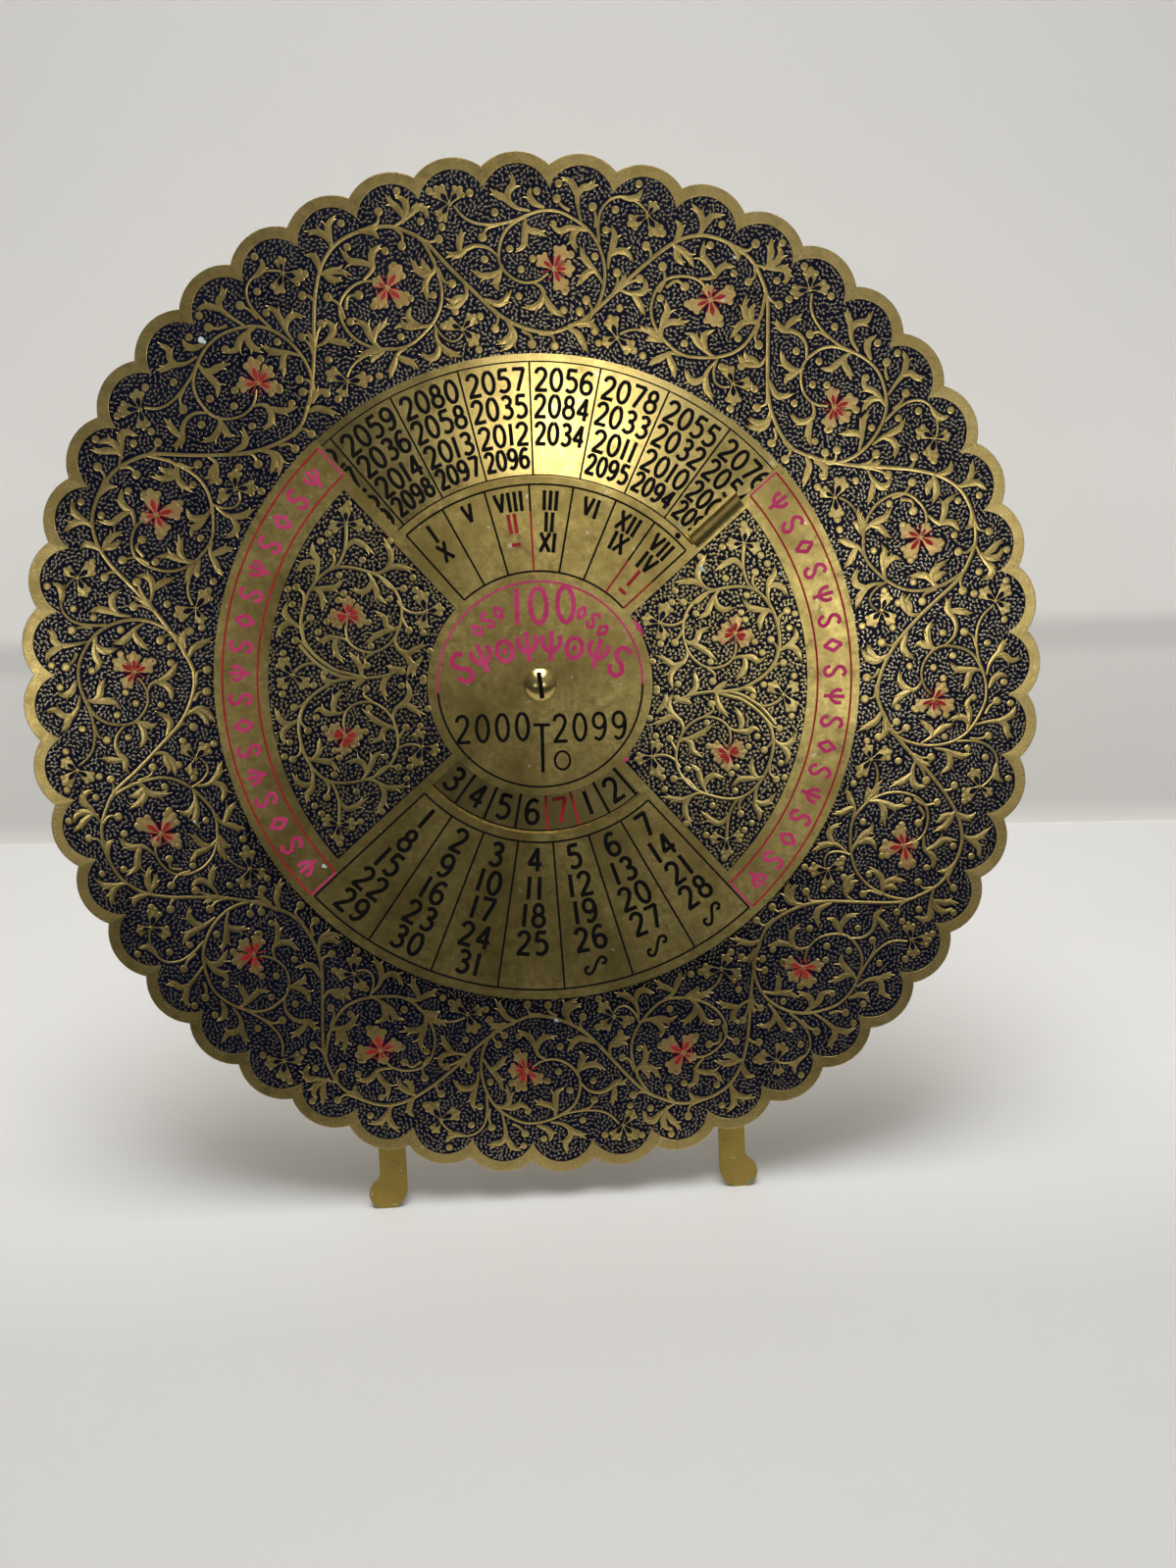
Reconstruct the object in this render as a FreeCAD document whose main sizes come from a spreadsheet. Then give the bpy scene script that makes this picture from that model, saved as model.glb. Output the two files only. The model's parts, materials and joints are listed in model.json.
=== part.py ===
"""Perpetual desk calendar of sheet brass, standing on two legs and a folding strut.

Millimetres and degrees. +Z is up, the front faces -Y, and the origin is on the floor, under the middle of
the object. The plate leans back. Pieces on the plate are drawn in the plate's own frame, with X to the
right, Y up the plate and Z out of its front face, whose middle is the zero point, and are then placed."""

import FreeCAD, Part

import math
import os
import re

import Sketcher
from FreeCAD import Placement, Rotation, Vector

RIGHT, UP_PLATE, OUTWARD = Vector(1, 0, 0), Vector(0, 1, 0), Vector(0, 0, 1)
FULL_TURN, HALF_TURN, QUARTER_TURN = 360, 180, 90
SIDES = {"left": "-1", "right": "1"}
NUT_SIDES = 6
ZERO_INDEX, START_INDEX, END_INDEX, MIDDLE_INDEX = -1, 1, 2, 3
SAME = 1e-3

SIZES = {
    # base plate
    "plate_radius": 127,
    "lobe_count": 48,
    "lobe_radius": 11.7,
    "web_inset": 7,
    "base_thick": 1.2,
    "lean_angle": 15,
    # year disc, and the cover disc of the same radius, which is turned a little on the plate
    "disc_radius": 80,
    "year_thick": 0.8,
    "cover_thick": 0.9,
    "cover_turn_angle": 5.1,
    "notch_angle": 90,
    "notch_inner_radius": 50.8,
    "window_angle": 90,
    "window_inner_radius": 27.6,
    "window_outer_radius": 37.2,
    # turned-up lip at the notch's right edge
    "lip_inner_radius": 51.4,
    "lip_outer_radius": 66.8,
    "lip_root": 2.3,
    "lip_bend_radius": 4.8,
    "lip_bend_angle": 70,
    # pivot
    "bush_radius": 4,
    "spacer_radius": 10,
    "spacer_thick": 0.3,
    "screw_radius": 2,
    "screw_length": 10,
    "screw_chamfer": 0.4,
    "head_radius": 4,
    "head_height": 2.6,
    "head_side": 0.7,
    "slot_width": 1.2,
    "slot_depth": 1.2,
    "slot_tilt_angle": 5,
    "washer_radius": 4.5,
    "washer_thick": 0.8,
    "spring_radius": 3.8,
    "spring_thick": 0.9,
    "spring_gap_angle": 12,
    "nut_flats": 7,
    "nut_thick": 3.2,
    "nut_chamfer": 0.6,
    # legs
    "leg_spread": 44.5,
    "leg_width": 6.9,
    "leg_thick": 1.2,
    "leg_top": 43,
    "sole_drop": 134.5,
    "sole_cut": 0.5,
    "heel_radius": 5.8,
    "toe_reach": 3.1,
    "toe_fillet": 3,
    "leg_rivet_high": 50,
    "leg_rivet_low": 62,
    # rivets
    "rivet_radius": 1.25,
    "rivet_flush_radius": 2.3,
    "rivet_flush_depth": 0.7,
    "rivet_dome_radius": 2.5,
    "rivet_dome_height": 1.2,
    # hinge leaf and pin
    "leaf_width": 24,
    "leaf_thick": 1,
    "leaf_height": 17,
    "hinge_drop": 24,
    "leaf_rivet_spread": 8,
    "leaf_rivet_rise": 10.5,
    "knuckle_radius": 2.2,
    "pin_radius": 1.25,
    "pin_head_radius": 2,
    "pin_head_thick": 0.6,
    # rear strut
    "open_angle": 38,
    "strut_width": 10,
    "strut_foot_width": 14,
    "strut_thick": 1.2,
    "strut_offset": 1,
    "foot_length": 8,
    "foot_bend_radius": 1.6,
    "foot_corner_radius": 3,
    # clearances
    "dial_play": 0.05,
    "dial_fit": 0.05,
    "screw_fit": 0.05,
    "hole_fit": 0.1,
    "rivet_fit": 0.03,
    "pin_fit": 0.05,
    "knuckle_gap": 0.35,
    "stop_gap": 0.03,
    # how far a cutting tool runs past what it cuts
    "overrun": 1,
}

# Levels in the plate's frame, and the plate's place over the floor, worked out from the sizes above.
DERIVED = {
    "web_radius": "plate_radius - web_inset",
    "year_level": "spacer_thick + dial_play",
    "front_spacer_level": "spacer_thick + year_thick + 2 * dial_play",
    "cover_level": "2 * spacer_thick + year_thick + 2 * dial_play",
    "cover_front": "cover_level + cover_thick",
    "notch_start": f"{QUARTER_TURN} - cover_turn_angle - notch_angle / 2",
    "window_start": f"-{QUARTER_TURN} - cover_turn_angle - window_angle / 2",
    "washer_level": "-base_thick - washer_thick",
    "spring_level": "-base_thick - washer_thick - spring_thick",
    "nut_level": "-base_thick - washer_thick - spring_thick - nut_thick",
    "leg_level": "-base_thick - leg_thick",
    "toe_radius": "leg_width + toe_reach - heel_radius",
    "sole_level": "-sole_drop - sole_cut",
    "lean_sine": "sin(lean_angle * 1deg)",
    "lean_cosine": "cos(lean_angle * 1deg)",
    "pivot_height": "sole_drop * lean_cosine + (base_thick + leg_thick / 2) * lean_sine",
    "hinge_level": "-base_thick - knuckle_gap - knuckle_radius",
    "hinge_height": "pivot_height - hinge_drop * lean_cosine + hinge_level * lean_sine",
    "hinge_back": "-hinge_drop * lean_sine - hinge_level * lean_cosine",
    "strut_sine": "sin((open_angle - lean_angle) * 1deg)",
    "strut_cosine": "cos((open_angle - lean_angle) * 1deg)",
    "strut_under": "(hinge_height + strut_offset * strut_sine) / strut_cosine",
    "strut_back": "strut_offset + strut_thick",
    "stop_depth": "knuckle_radius + knuckle_gap - leaf_thick - stop_gap",
    "heel_run": "-(stop_depth + strut_offset * cos(open_angle * 1deg)) / sin(open_angle * 1deg)",
    "bend_run": "(hinge_height - strut_thick + strut_back * strut_sine) / strut_cosine",
    "foot_front": "strut_offset * strut_cosine + strut_under * strut_sine",
    "foot_back": "foot_front + foot_length",
    "front_reach": "base_thick / lean_cosine - pivot_height * lean_sine / lean_cosine",
    "back_reach": "hinge_back + foot_back",
    "row_shift": "-(front_reach + back_reach) / 2",
}

NAMES = set(SIZES) | set(DERIVED)
doc = FreeCAD.newDocument("perpetual_desk_calendar")
sheet = doc.addObject("Spreadsheet::Sheet", "sizes")
pieces = []


def fill_sheet():
    """Writes the driving sizes as plain numbers, then the derived ones as formulas."""
    cells = [(name, str(value)) for name, value in SIZES.items()]
    cells += [(name, "=" + formula) for name, formula in DERIVED.items()]
    for row, (name, text) in enumerate(cells, start=1):
        sheet.set(f"A{row}", name)
        sheet.set(f"B{row}", text)
        sheet.setAlias(f"B{row}", name)
    doc.recompute()


def size(name):
    """The value of one cell."""
    return float(sheet.get(name))


def bind(thing, **formulas):
    """Binds properties to formulas in the sheet's names, such as Radius="plate_radius"."""
    for name, formula in formulas.items():
        thing.setExpression(name.replace("__", "."), in_sheet(formula))
    return thing


def in_sheet(formula):
    """The formula with each of the sheet's names written as sizes.name."""
    return re.sub(r"[a-z_]+", lambda word: "sizes." + word[0] if word[0] in NAMES else word[0], formula)


def on_plate(thing):
    """Places a finished piece that is drawn in the plate's frame."""
    thing.Placement = Placement(Vector(), Rotation(RIGHT, QUARTER_TURN))
    bind(
        thing,
        Placement__Base__y="row_shift",
        Placement__Base__z="pivot_height",
        Placement__Rotation__Angle=f"{QUARTER_TURN} - lean_angle",
    )
    return thing


def keep(thing, name):
    """Marks a finished object as a piece, with its own Label."""
    thing.Label = name
    pieces.append(thing)
    return thing


def solid(kind, name, turn=None, **formulas):
    """A Part primitive or boolean, turned if asked, with its sizes bound to the sheet."""
    thing = doc.addObject("Part::" + kind, name)
    if turn is not None:
        thing.Placement = Placement(Vector(), turn)
    return bind(thing, **formulas)


def joined(name, *parts):
    """The union of some objects."""
    thing = doc.addObject("Part::MultiFuse", name)
    thing.Shapes = list(parts)
    thing.Refine = True
    return thing


def cut(name, base, tool):
    """An object less another."""
    thing = doc.addObject("Part::Cut", name)
    thing.Base, thing.Tool = base, tool
    return thing


def shared(name, base, tool):
    """What two objects have in common."""
    thing = doc.addObject("Part::Common", name)
    thing.Base, thing.Tool = base, tool
    return thing


def rod(name, radius, low, high, x="0", y="0"):
    """A cylinder along the plate's normal, from one level to another."""
    return solid(
        "Cylinder",
        name,
        Radius=radius,
        Height=f"({high}) - ({low})",
        Placement__Base__x=x,
        Placement__Base__y=y,
        Placement__Base__z=low,
    )


def sector(name, radius, angle, start, low, high):
    """A slice of a disc, which begins at the start angle and grows counterclockwise."""
    thing = rod(name, radius, low, high)
    thing.Placement = Placement(thing.Placement.Base, Rotation(OUTWARD, HALF_TURN))
    return bind(thing, Angle=angle, Placement__Rotation__Angle=start)


def sector_ring(name, inner, outer, angle, start, low, high):
    """A slice of a ring, which a cut uses."""
    return cut(
        name,
        sector(name + "_outer", outer, angle, start, low, high),
        rod(name + "_inner", inner, f"{low} - overrun", f"{high} + overrun"),
    )


def turned(thing, angle):
    """The same object, turned counterclockwise about the pivot's axis."""
    holder = doc.addObject("Part::Compound", thing.Name + "_turned")
    holder.Links = [thing]
    holder.Placement = Placement(Vector(), Rotation(OUTWARD, HALF_TURN))
    return bind(holder, Placement__Rotation__Angle=angle)


def ring(name, bore, radius, low, high):
    """A round washer or collar on the pivot's axis."""
    inner = rod(name + "_bore", bore, f"{low} - overrun", f"{high} + overrun")
    return cut(name, rod(name + "_blank", radius, low, high), inner)


def sketch_on(body, name, role, lift="0"):
    """A sketch on one of the body's own origin planes, lifted along its normal."""
    plane = next(f for f in body.Origin.OriginFeatures if f.Role == role)
    sketch = body.newObject("Sketcher::SketchObject", name)
    sketch.AttachmentSupport = (plane, [""])
    sketch.MapMode = "FlatFace"
    bind(sketch, AttachmentOffset__Base__z=lift)
    return sketch


def bind_point(sketch, geometry, which, x, y=None):
    """Ties one point of a sketch to a formula for its X and, if given, one for its Y."""
    drawn = sketch.getPoint(geometry, which)
    for kind, formula, now in (("DistanceX", x, drawn.x), ("DistanceY", y, drawn.y)):
        if formula is not None:
            rule = Sketcher.Constraint(kind, ZERO_INDEX, START_INDEX, geometry, which, now)
            sketch.setExpression(f"Constraints[{sketch.addConstraint(rule)}]", in_sheet(formula))


def outline(sketch, corners):
    """A closed outline of straight runs through corners given as pairs of formulas."""
    step = math.radians(FULL_TURN / len(corners))
    points = [Vector(math.cos(k * step), math.sin(k * step), 0) for k in range(len(corners))]
    for here, there in zip(points, points[1:] + points[:1]):
        sketch.addGeometry(Part.LineSegment(here, there), False)
    for index, (x, y) in enumerate(corners):
        after = (index + 1) % len(corners)
        sketch.addConstraint(Sketcher.Constraint("Coincident", index, END_INDEX, after, START_INDEX))
        bind_point(sketch, index, START_INDEX, x, y)
    return sketch


def circle(sketch, radius, x="0", y="0"):
    """A circle with its centre and radius tied to formulas."""
    index = sketch.addGeometry(Part.Circle(), False)
    rule = sketch.addConstraint(Sketcher.Constraint("Radius", index, 1))
    sketch.setExpression(f"Constraints[{rule}]", in_sheet(radius))
    bind_point(sketch, index, MIDDLE_INDEX, x, y)
    return sketch


def pad(body, name, sketch, length, middle=False):
    """A PartDesign pad of a sketch."""
    feature = body.newObject("PartDesign::Pad", name)
    feature.Profile = sketch
    feature.Midplane = middle
    return bind(feature, Length=length)


def rounded(body, name, feature, radius, chosen):
    """A fillet on the straight edges that a test on their middle and direction picks."""
    doc.recompute()
    names = []
    for index, edge in enumerate(feature.Shape.Edges, start=1):
        if isinstance(edge.Curve, Part.Line) and chosen(edge.CenterOfMass, edge.Curve.Direction):
            names.append(f"Edge{index}")
    fillet = body.newObject("PartDesign::Fillet", name)
    fillet.Base = (feature, names)
    return bind(fillet, Radius=radius)


def near(value, target):
    """Whether two coordinates are the same but for rounding."""
    return abs(value - target) < SAME


def leg_rivet_spots():
    """Name and place of the rivets through the legs."""
    return [
        (f"{side}_leg_{where}", f"{sign} * leg_spread", f"-leg_rivet_{where}")
        for side, sign in SIDES.items()
        for where in ("high", "low")
    ]


def leaf_rivet_spots():
    """Name and place of the rivets through the hinge leaf."""
    return [
        (f"leaf_{side}", f"{sign} * leaf_rivet_spread", "leaf_rivet_rise - hinge_drop")
        for side, sign in SIDES.items()
    ]


def rivet(name, x, y, under, fit="0"):
    """A rivet with a flush head in the plate's front and a domed head on what it holds."""
    flush = solid(
        "Cone",
        name + "_flush",
        Radius1=f"rivet_radius + {fit}",
        Radius2=f"rivet_flush_radius + {fit}",
        Height="rivet_flush_depth",
        Placement__Base__x=x,
        Placement__Base__y=y,
        Placement__Base__z="-rivet_flush_depth",
    )
    shank = rod(name + "_shank", f"rivet_radius + {fit}", under, "0", x, y)
    return joined(name + "_body", flush, shank)


def rivet_with_dome(name, x, y, under):
    """The whole rivet, its domed head cut from a ball."""
    ball_radius = "(rivet_dome_radius ^ 2 + rivet_dome_height ^ 2 ) / ( 2 * rivet_dome_height)"
    ball = solid(
        "Sphere",
        name + "_ball",
        Radius=ball_radius,
        Placement__Base__x=x,
        Placement__Base__y=y,
        Placement__Base__z=f"{under} - rivet_dome_height + {ball_radius}",
    )
    cap = rod(name + "_cap", "rivet_dome_radius + overrun", f"{under} - rivet_dome_height", under, x, y)
    return joined(name, rivet(name, x, y, under), shared(name + "_dome", ball, cap))


def rivet_holes(name, spots, under):
    """The holes that the rivets fill, a little wider than they are."""
    tools = [rivet(f"{name}_{spot}", x, y, f"{under} - overrun", "rivet_fit") for spot, x, y in spots]
    return joined(name, *tools)


def make_base_plate():
    """Scalloped sheet: a round web, one lobe and its pattern, less the pivot's and the rivets' holes."""
    body = doc.addObject("PartDesign::Body", "scalloped_sheet")
    web = circle(sketch_on(body, "web_sketch", "XY_Plane", "-base_thick"), "web_radius")
    pad(body, "web", web, "base_thick")
    lobe_sketch = sketch_on(body, "lobe_sketch", "XY_Plane", "-base_thick")
    circle(lobe_sketch, "lobe_radius", "0", "plate_radius - lobe_radius")
    lobe = pad(body, "lobe", lobe_sketch, "base_thick")
    lobes = body.newObject("PartDesign::PolarPattern", "lobes")
    lobes.Originals = [lobe]
    lobes.Axis = (lobe_sketch, ["N_Axis"])
    lobes.Angle = FULL_TURN
    bind(lobes, Occurrences="lobe_count")
    body.Tip = lobes
    spots = leg_rivet_spots() + leaf_rivet_spots()
    holes = joined(
        "plate_holes",
        rod("pivot_hole", "screw_radius + hole_fit", "-base_thick - overrun", "overrun"),
        rivet_holes("plate_rivet_holes", spots, "-base_thick"),
    )
    keep(on_plate(cut("base_plate", body, holes)), "base_plate")


def make_year_disc():
    """Flat disc that turns on the bush."""
    bore, front = "bush_radius + dial_fit", "year_level + year_thick"
    disc = ring("year_disc", bore, "disc_radius", "year_level", front)
    keep(on_plate(disc), "year_disc")


def make_cover_disc():
    """Front disc with its notch, weekday window, screw hole, and the lip turned up at the notch's edge."""
    low, high = "cover_level - overrun", "cover_front + overrun"
    blank = rod("cover_blank", "disc_radius", "cover_level", "cover_front")
    notch_outer = "disc_radius + overrun"
    notch = sector_ring("notch", "notch_inner_radius", notch_outer, "notch_angle", "notch_start", low, high)
    window = sector_ring(
        "window", "window_inner_radius", "window_outer_radius", "window_angle", "window_start", low, high
    )
    hole = rod("cover_hole", "screw_radius + hole_fit", low, high)
    lip, relief = make_lip()
    flat = cut("cover_flat", blank, joined("cover_cuts", notch, window, hole, relief))
    keep(on_plate(joined("cover_disc", flat, lip)), "cover_disc")


def make_lip():
    """The lip, a strip bent along the notch's right edge, and the cut that makes room for it.

    Both are drawn along X, with the notch on the +Y side, and then turned to lie along the edge."""
    length = "lip_outer_radius - lip_inner_radius"
    along = Rotation(UP_PLATE, QUARTER_TURN)
    bend = {
        "Height": length,
        "Angle": "lip_bend_angle",
        "Placement__Base__x": "lip_inner_radius",
        "Placement__Base__y": "-lip_root",
        "Placement__Base__z": "cover_front + lip_bend_radius",
    }
    outer = solid("Cylinder", "lip_outer", along, Radius="lip_bend_radius + cover_thick", **bend)
    inner = solid("Cylinder", "lip_inner", along, Radius="lip_bend_radius", **bend)
    bind(inner, Angle=f"{FULL_TURN}")
    strip = cut("lip_strip", outer, inner)
    relief = solid(
        "Box",
        "lip_relief",
        Length=length,
        Width="lip_root + overrun",
        Height="cover_thick + 2 * overrun",
        Placement__Base__x="lip_inner_radius",
        Placement__Base__y="-lip_root",
        Placement__Base__z="cover_level - overrun",
    )
    return turned(strip, "notch_start"), turned(relief, "notch_start")


def make_pivot():
    """The bush, the two spacers, the screw and its fastening behind the plate."""
    bore = "screw_radius + screw_fit"
    keep(on_plate(ring("pivot_bush", bore, "bush_radius", "0", "cover_level")), "pivot_bush")
    spacer_bore = "bush_radius + dial_fit"
    keep(on_plate(ring("rear_spacer", spacer_bore, "spacer_radius", "0", "spacer_thick")), "rear_spacer")
    front = ring("front_spacer", spacer_bore, "spacer_radius", "front_spacer_level", "cover_level")
    keep(on_plate(front), "front_spacer")
    make_screw()
    washer = ring("back_washer", "screw_radius + hole_fit", "washer_radius", "washer_level", "-base_thick")
    keep(on_plate(washer), "back_washer")
    split = sector_ring(
        "spring_washer",
        bore,
        "spring_radius",
        f"{FULL_TURN} - spring_gap_angle",
        "spring_gap_angle / 2",
        "spring_level",
        "washer_level",
    )
    keep(on_plate(split), "spring_washer")
    make_nut(bore)


def make_screw():
    """Slotted pan-head screw: a shank with a chamfered end, and a head whose dome is cut from a ball."""
    ball = "(head_radius ^ 2 + ( head_height - head_side ) ^ 2 ) / ( 2 * ( head_height - head_side ))"
    shank_end = "cover_front - screw_length"
    shank = rod("screw_shank", "screw_radius", f"{shank_end} + screw_chamfer", "cover_front")
    tip = solid(
        "Cone",
        "screw_tip",
        Radius1="screw_radius - screw_chamfer",
        Radius2="screw_radius",
        Height="screw_chamfer",
        Placement__Base__z=shank_end,
    )
    drum = rod("screw_drum", "head_radius", "cover_front", "cover_front + head_height")
    ball_middle = f"cover_front + head_height - {ball}"
    dome = solid("Sphere", "screw_ball", Radius=ball, Placement__Base__z=ball_middle)
    slot_box = solid(
        "Box",
        "slot_box",
        Length="slot_width",
        Width="2 * (head_radius + overrun)",
        Height="slot_depth + overrun",
        Placement__Base__x="-slot_width / 2",
        Placement__Base__y="-head_radius - overrun",
        Placement__Base__z="cover_front + head_height - slot_depth",
    )
    slot = turned(slot_box, "slot_tilt_angle")
    head = cut("screw_head", shared("screw_round", drum, dome), slot)
    keep(on_plate(joined("pivot_screw", head, shank, tip)), "pivot_screw")


def make_nut(bore):
    """Hexagon nut, its outer corners cut back by a cone."""
    corner = f"nut_flats / 2 / cos({HALF_TURN / NUT_SIDES} * 1deg)"
    prism = solid(
        "Prism", "nut_prism", Circumradius=corner, Height="nut_thick", Placement__Base__z="nut_level"
    )
    prism.Polygon = NUT_SIDES
    cone = solid(
        "Cone",
        "nut_cone",
        Radius1="nut_flats / 2",
        Radius2="nut_flats / 2 + nut_thick * ( nut_flats / 2 ) / nut_chamfer",
        Height="nut_thick",
        Placement__Base__z="nut_level",
    )
    hole = rod("nut_hole", bore, "nut_level - overrun", "spring_level + overrun")
    keep(on_plate(cut("hex_nut", shared("nut_blank", prism, cone), hole)), "hex_nut")


def leg_outline(sketch):
    """The right leg's outline: down its inner edge, round the heel and the toe, and up its outer edge."""
    inner, outer = "leg_spread - leg_width / 2", "leg_spread + leg_width / 2"
    middle = f"{inner} + heel_radius"
    half, heel, toe = size("leg_width") / 2, size("heel_radius"), size("toe_radius")
    inner_x, outer_x = size("leg_spread") - half, size("leg_spread") + half
    middle_x, top_y, sole_y = inner_x + heel, -size("leg_top"), size("sole_level")
    step_angle = math.acos((outer_x - middle_x) / toe)
    heel_circle = Part.Circle(Vector(middle_x, sole_y + heel, 0), OUTWARD, heel)
    toe_circle = Part.Circle(Vector(middle_x, sole_y + toe, 0), OUTWARD, toe)
    step_y = sole_y + toe + toe * math.sin(step_angle)
    sketch.addGeometry(
        [
            Part.LineSegment(Vector(inner_x, top_y, 0), Vector(inner_x, sole_y + heel, 0)),
            Part.ArcOfCircle(heel_circle, math.pi, 3 * math.pi / 2),
            Part.ArcOfCircle(toe_circle, -math.pi / 2, step_angle),
            Part.LineSegment(Vector(outer_x, step_y, 0), Vector(outer_x, top_y, 0)),
            Part.LineSegment(Vector(outer_x, top_y, 0), Vector(inner_x, top_y, 0)),
        ],
        False,
    )
    edges = list(range(sketch.GeometryCount))
    down, heel_arc, toe_arc, up, across = edges
    for before, after in zip(edges, edges[1:] + edges[:1]):
        sketch.addConstraint(Sketcher.Constraint("Coincident", before, END_INDEX, after, START_INDEX))
    bind_point(sketch, down, START_INDEX, inner, "-leg_top")
    bind_point(sketch, down, END_INDEX, inner, "sole_level + heel_radius")
    bind_point(sketch, heel_arc, MIDDLE_INDEX, middle, "sole_level + heel_radius")
    bind_point(sketch, heel_arc, END_INDEX, middle)
    bind_point(sketch, toe_arc, MIDDLE_INDEX, middle, "sole_level + toe_radius")
    bind_point(sketch, up, START_INDEX, outer)
    bind_point(sketch, up, END_INDEX, outer, "-leg_top")
    return sketch


def make_legs():
    """Flat legs with a round heel and a toe that stands out to one side, cut level at the sole by the floor.

    The left one is the mirror image of the right one."""
    body = doc.addObject("PartDesign::Body", "leg_sheet")
    sketch = leg_outline(sketch_on(body, "leg_sketch", "XY_Plane", "leg_level"))
    blank = pad(body, "leg_blank", sketch, "leg_thick")
    outer_x = size("leg_spread") + size("leg_width") / 2

    def at_step(point, direction):
        in_toe = point.y < size("sole_level") + 2 * size("toe_radius")
        return near(abs(direction.z), 1) and near(point.x, outer_x) and in_toe

    body.Tip = rounded(body, "leg_step", blank, "toe_fillet", at_step)
    spots = [spot for spot in leg_rivet_spots() if spot[0].startswith("right")]
    drilled = doc.addObject("Part::Compound", "leg_placed")
    drilled.Links = [cut("leg_drilled", body, rivet_holes("leg_holes", spots, "leg_level"))]
    right = cut("right_leg", on_plate(drilled), floor_block())
    left = doc.addObject("Part::Mirroring", "left_leg")
    left.Source, left.Normal = right, RIGHT
    keep(right, "right_leg")
    keep(left, "left_leg")


def floor_block():
    """A block under the floor, which cuts a sole level."""
    return solid(
        "Box",
        "floor_block",
        Length="2 * plate_radius",
        Width="2 * plate_radius",
        Height="plate_radius",
        Placement__Base__x="-plate_radius",
        Placement__Base__y="-plate_radius",
        Placement__Base__z="-plate_radius",
    )


def make_rivets():
    """Two groups of equal rivets: through the legs and through the hinge leaf."""
    for name, spots, under in (
        ("leg_rivets", leg_rivet_spots(), "leg_level"),
        ("hinge_rivets", leaf_rivet_spots(), "-base_thick - leaf_thick"),
    ):
        group = doc.addObject("Part::Compound", name)
        group.Links = [rivet_with_dome("rivet_" + spot, x, y, under) for spot, x, y in spots]
        keep(on_plate(group), name)


def hinge_rod(name, radius, left, right):
    """A cylinder along the hinge's axis, in the plate's frame."""
    return solid(
        "Cylinder",
        name,
        Rotation(UP_PLATE, QUARTER_TURN),
        Radius=radius,
        Height=f"({right}) - ({left})",
        Placement__Base__x=left,
        Placement__Base__y="-hinge_drop",
        Placement__Base__z="hinge_level",
    )


def make_hinge_leaf():
    """Leaf on the back of the plate, with two knuckles that leave room for the strut's between them."""
    half = "leaf_width / 2"
    inside = "strut_width / 2 + knuckle_gap"
    flat = solid(
        "Box",
        "leaf_flat",
        Length="leaf_width",
        Width="leaf_height",
        Height="leaf_thick",
        Placement__Base__x=f"-{half}",
        Placement__Base__y="-hinge_drop",
        Placement__Base__z="-base_thick - leaf_thick",
    )
    knuckles = [
        hinge_rod("left_knuckle", "knuckle_radius", f"-{half}", f"-({inside})"),
        hinge_rod("right_knuckle", "knuckle_radius", inside, half),
    ]
    room = solid(
        "Box",
        "leaf_room",
        Length=f"2 * ({inside})",
        Width="knuckle_radius + knuckle_gap + overrun",
        Height="leaf_thick + 2 * overrun",
        Placement__Base__x=f"-({inside})",
        Placement__Base__y="-hinge_drop - overrun",
        Placement__Base__z="-base_thick - leaf_thick - overrun",
    )
    bore = hinge_rod("leaf_bore", "pin_radius + pin_fit", f"-{half} - overrun", f"{half} + overrun")
    holes = rivet_holes("leaf_holes", leaf_rivet_spots(), "-base_thick - leaf_thick")
    leaf = cut("hinge_leaf", joined("leaf_blank", flat, *knuckles), joined("leaf_cuts", room, bore, holes))
    keep(on_plate(leaf), "hinge_leaf")


def make_hinge_pin():
    """Pin through all three knuckles, with a flat head at each end."""
    half = "leaf_width / 2"
    pin = joined(
        "hinge_pin",
        hinge_rod("pin_rod", "pin_radius", f"-{half}", half),
        hinge_rod("pin_left_head", "pin_head_radius", f"-{half} - pin_head_thick", f"-{half}"),
        hinge_rod("pin_right_head", "pin_head_radius", half, f"{half} + pin_head_thick"),
    )
    keep(on_plate(pin), "hinge_pin")


def make_rear_strut():
    """Folding strut, drawn open, with the hinge's axis as its zero point.

    Its side view is a bent sheet: the heel above the axis, which meets the leaf when the strut is open, the
    long straight run and the flat foot. Seen from behind it widens towards the foot."""
    body = doc.addObject("PartDesign::Body", "strut_sheet")
    side_view = outline(
        sketch_on(body, "strut_side_sketch", "YZ_Plane"),
        [
            along_strut("strut_offset", "heel_run"),
            ("foot_front", "-hinge_height"),
            ("foot_back", "-hinge_height"),
            ("foot_back", "strut_thick - hinge_height"),
            along_strut("strut_back", "bend_run"),
            along_strut("strut_back", "heel_run"),
        ],
    )
    sheet_pad = pad(body, "strut_bent_sheet", side_view, "strut_foot_width", middle=True)

    def at_bend(point, direction):
        on_top = near(point.z, size("strut_thick") - size("hinge_height"))
        return near(abs(direction.x), 1) and on_top and not near(point.y, size("foot_back"))

    def at_corner(point, direction):
        return near(abs(direction.z), 1) and near(point.y, size("foot_back"))

    bend = rounded(body, "strut_bend", sheet_pad, "foot_bend_radius", at_bend)
    body.Tip = rounded(body, "strut_corners", bend, "foot_corner_radius", at_corner)
    barrel = strut_rod("strut_barrel", "knuckle_radius", "strut_width")
    bore = strut_rod("strut_bore", "pin_radius + pin_fit", "strut_width + 2 * overrun")
    sheet = shared("strut_tapered", body, strut_outline())
    strut = cut("rear_strut", joined("strut_blank", sheet, barrel), bore)
    bind(strut, Placement__Base__y="row_shift + hinge_back", Placement__Base__z="hinge_height")
    keep(strut, "rear_strut")


def along_strut(depth, run):
    """A point of the strut's side view, by its depth behind the hinge's axis and its way down the strut."""
    back = f"({depth}) * strut_cosine + ({run}) * strut_sine"
    up = f"({depth}) * strut_sine - ({run}) * strut_cosine"
    return back, up


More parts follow.
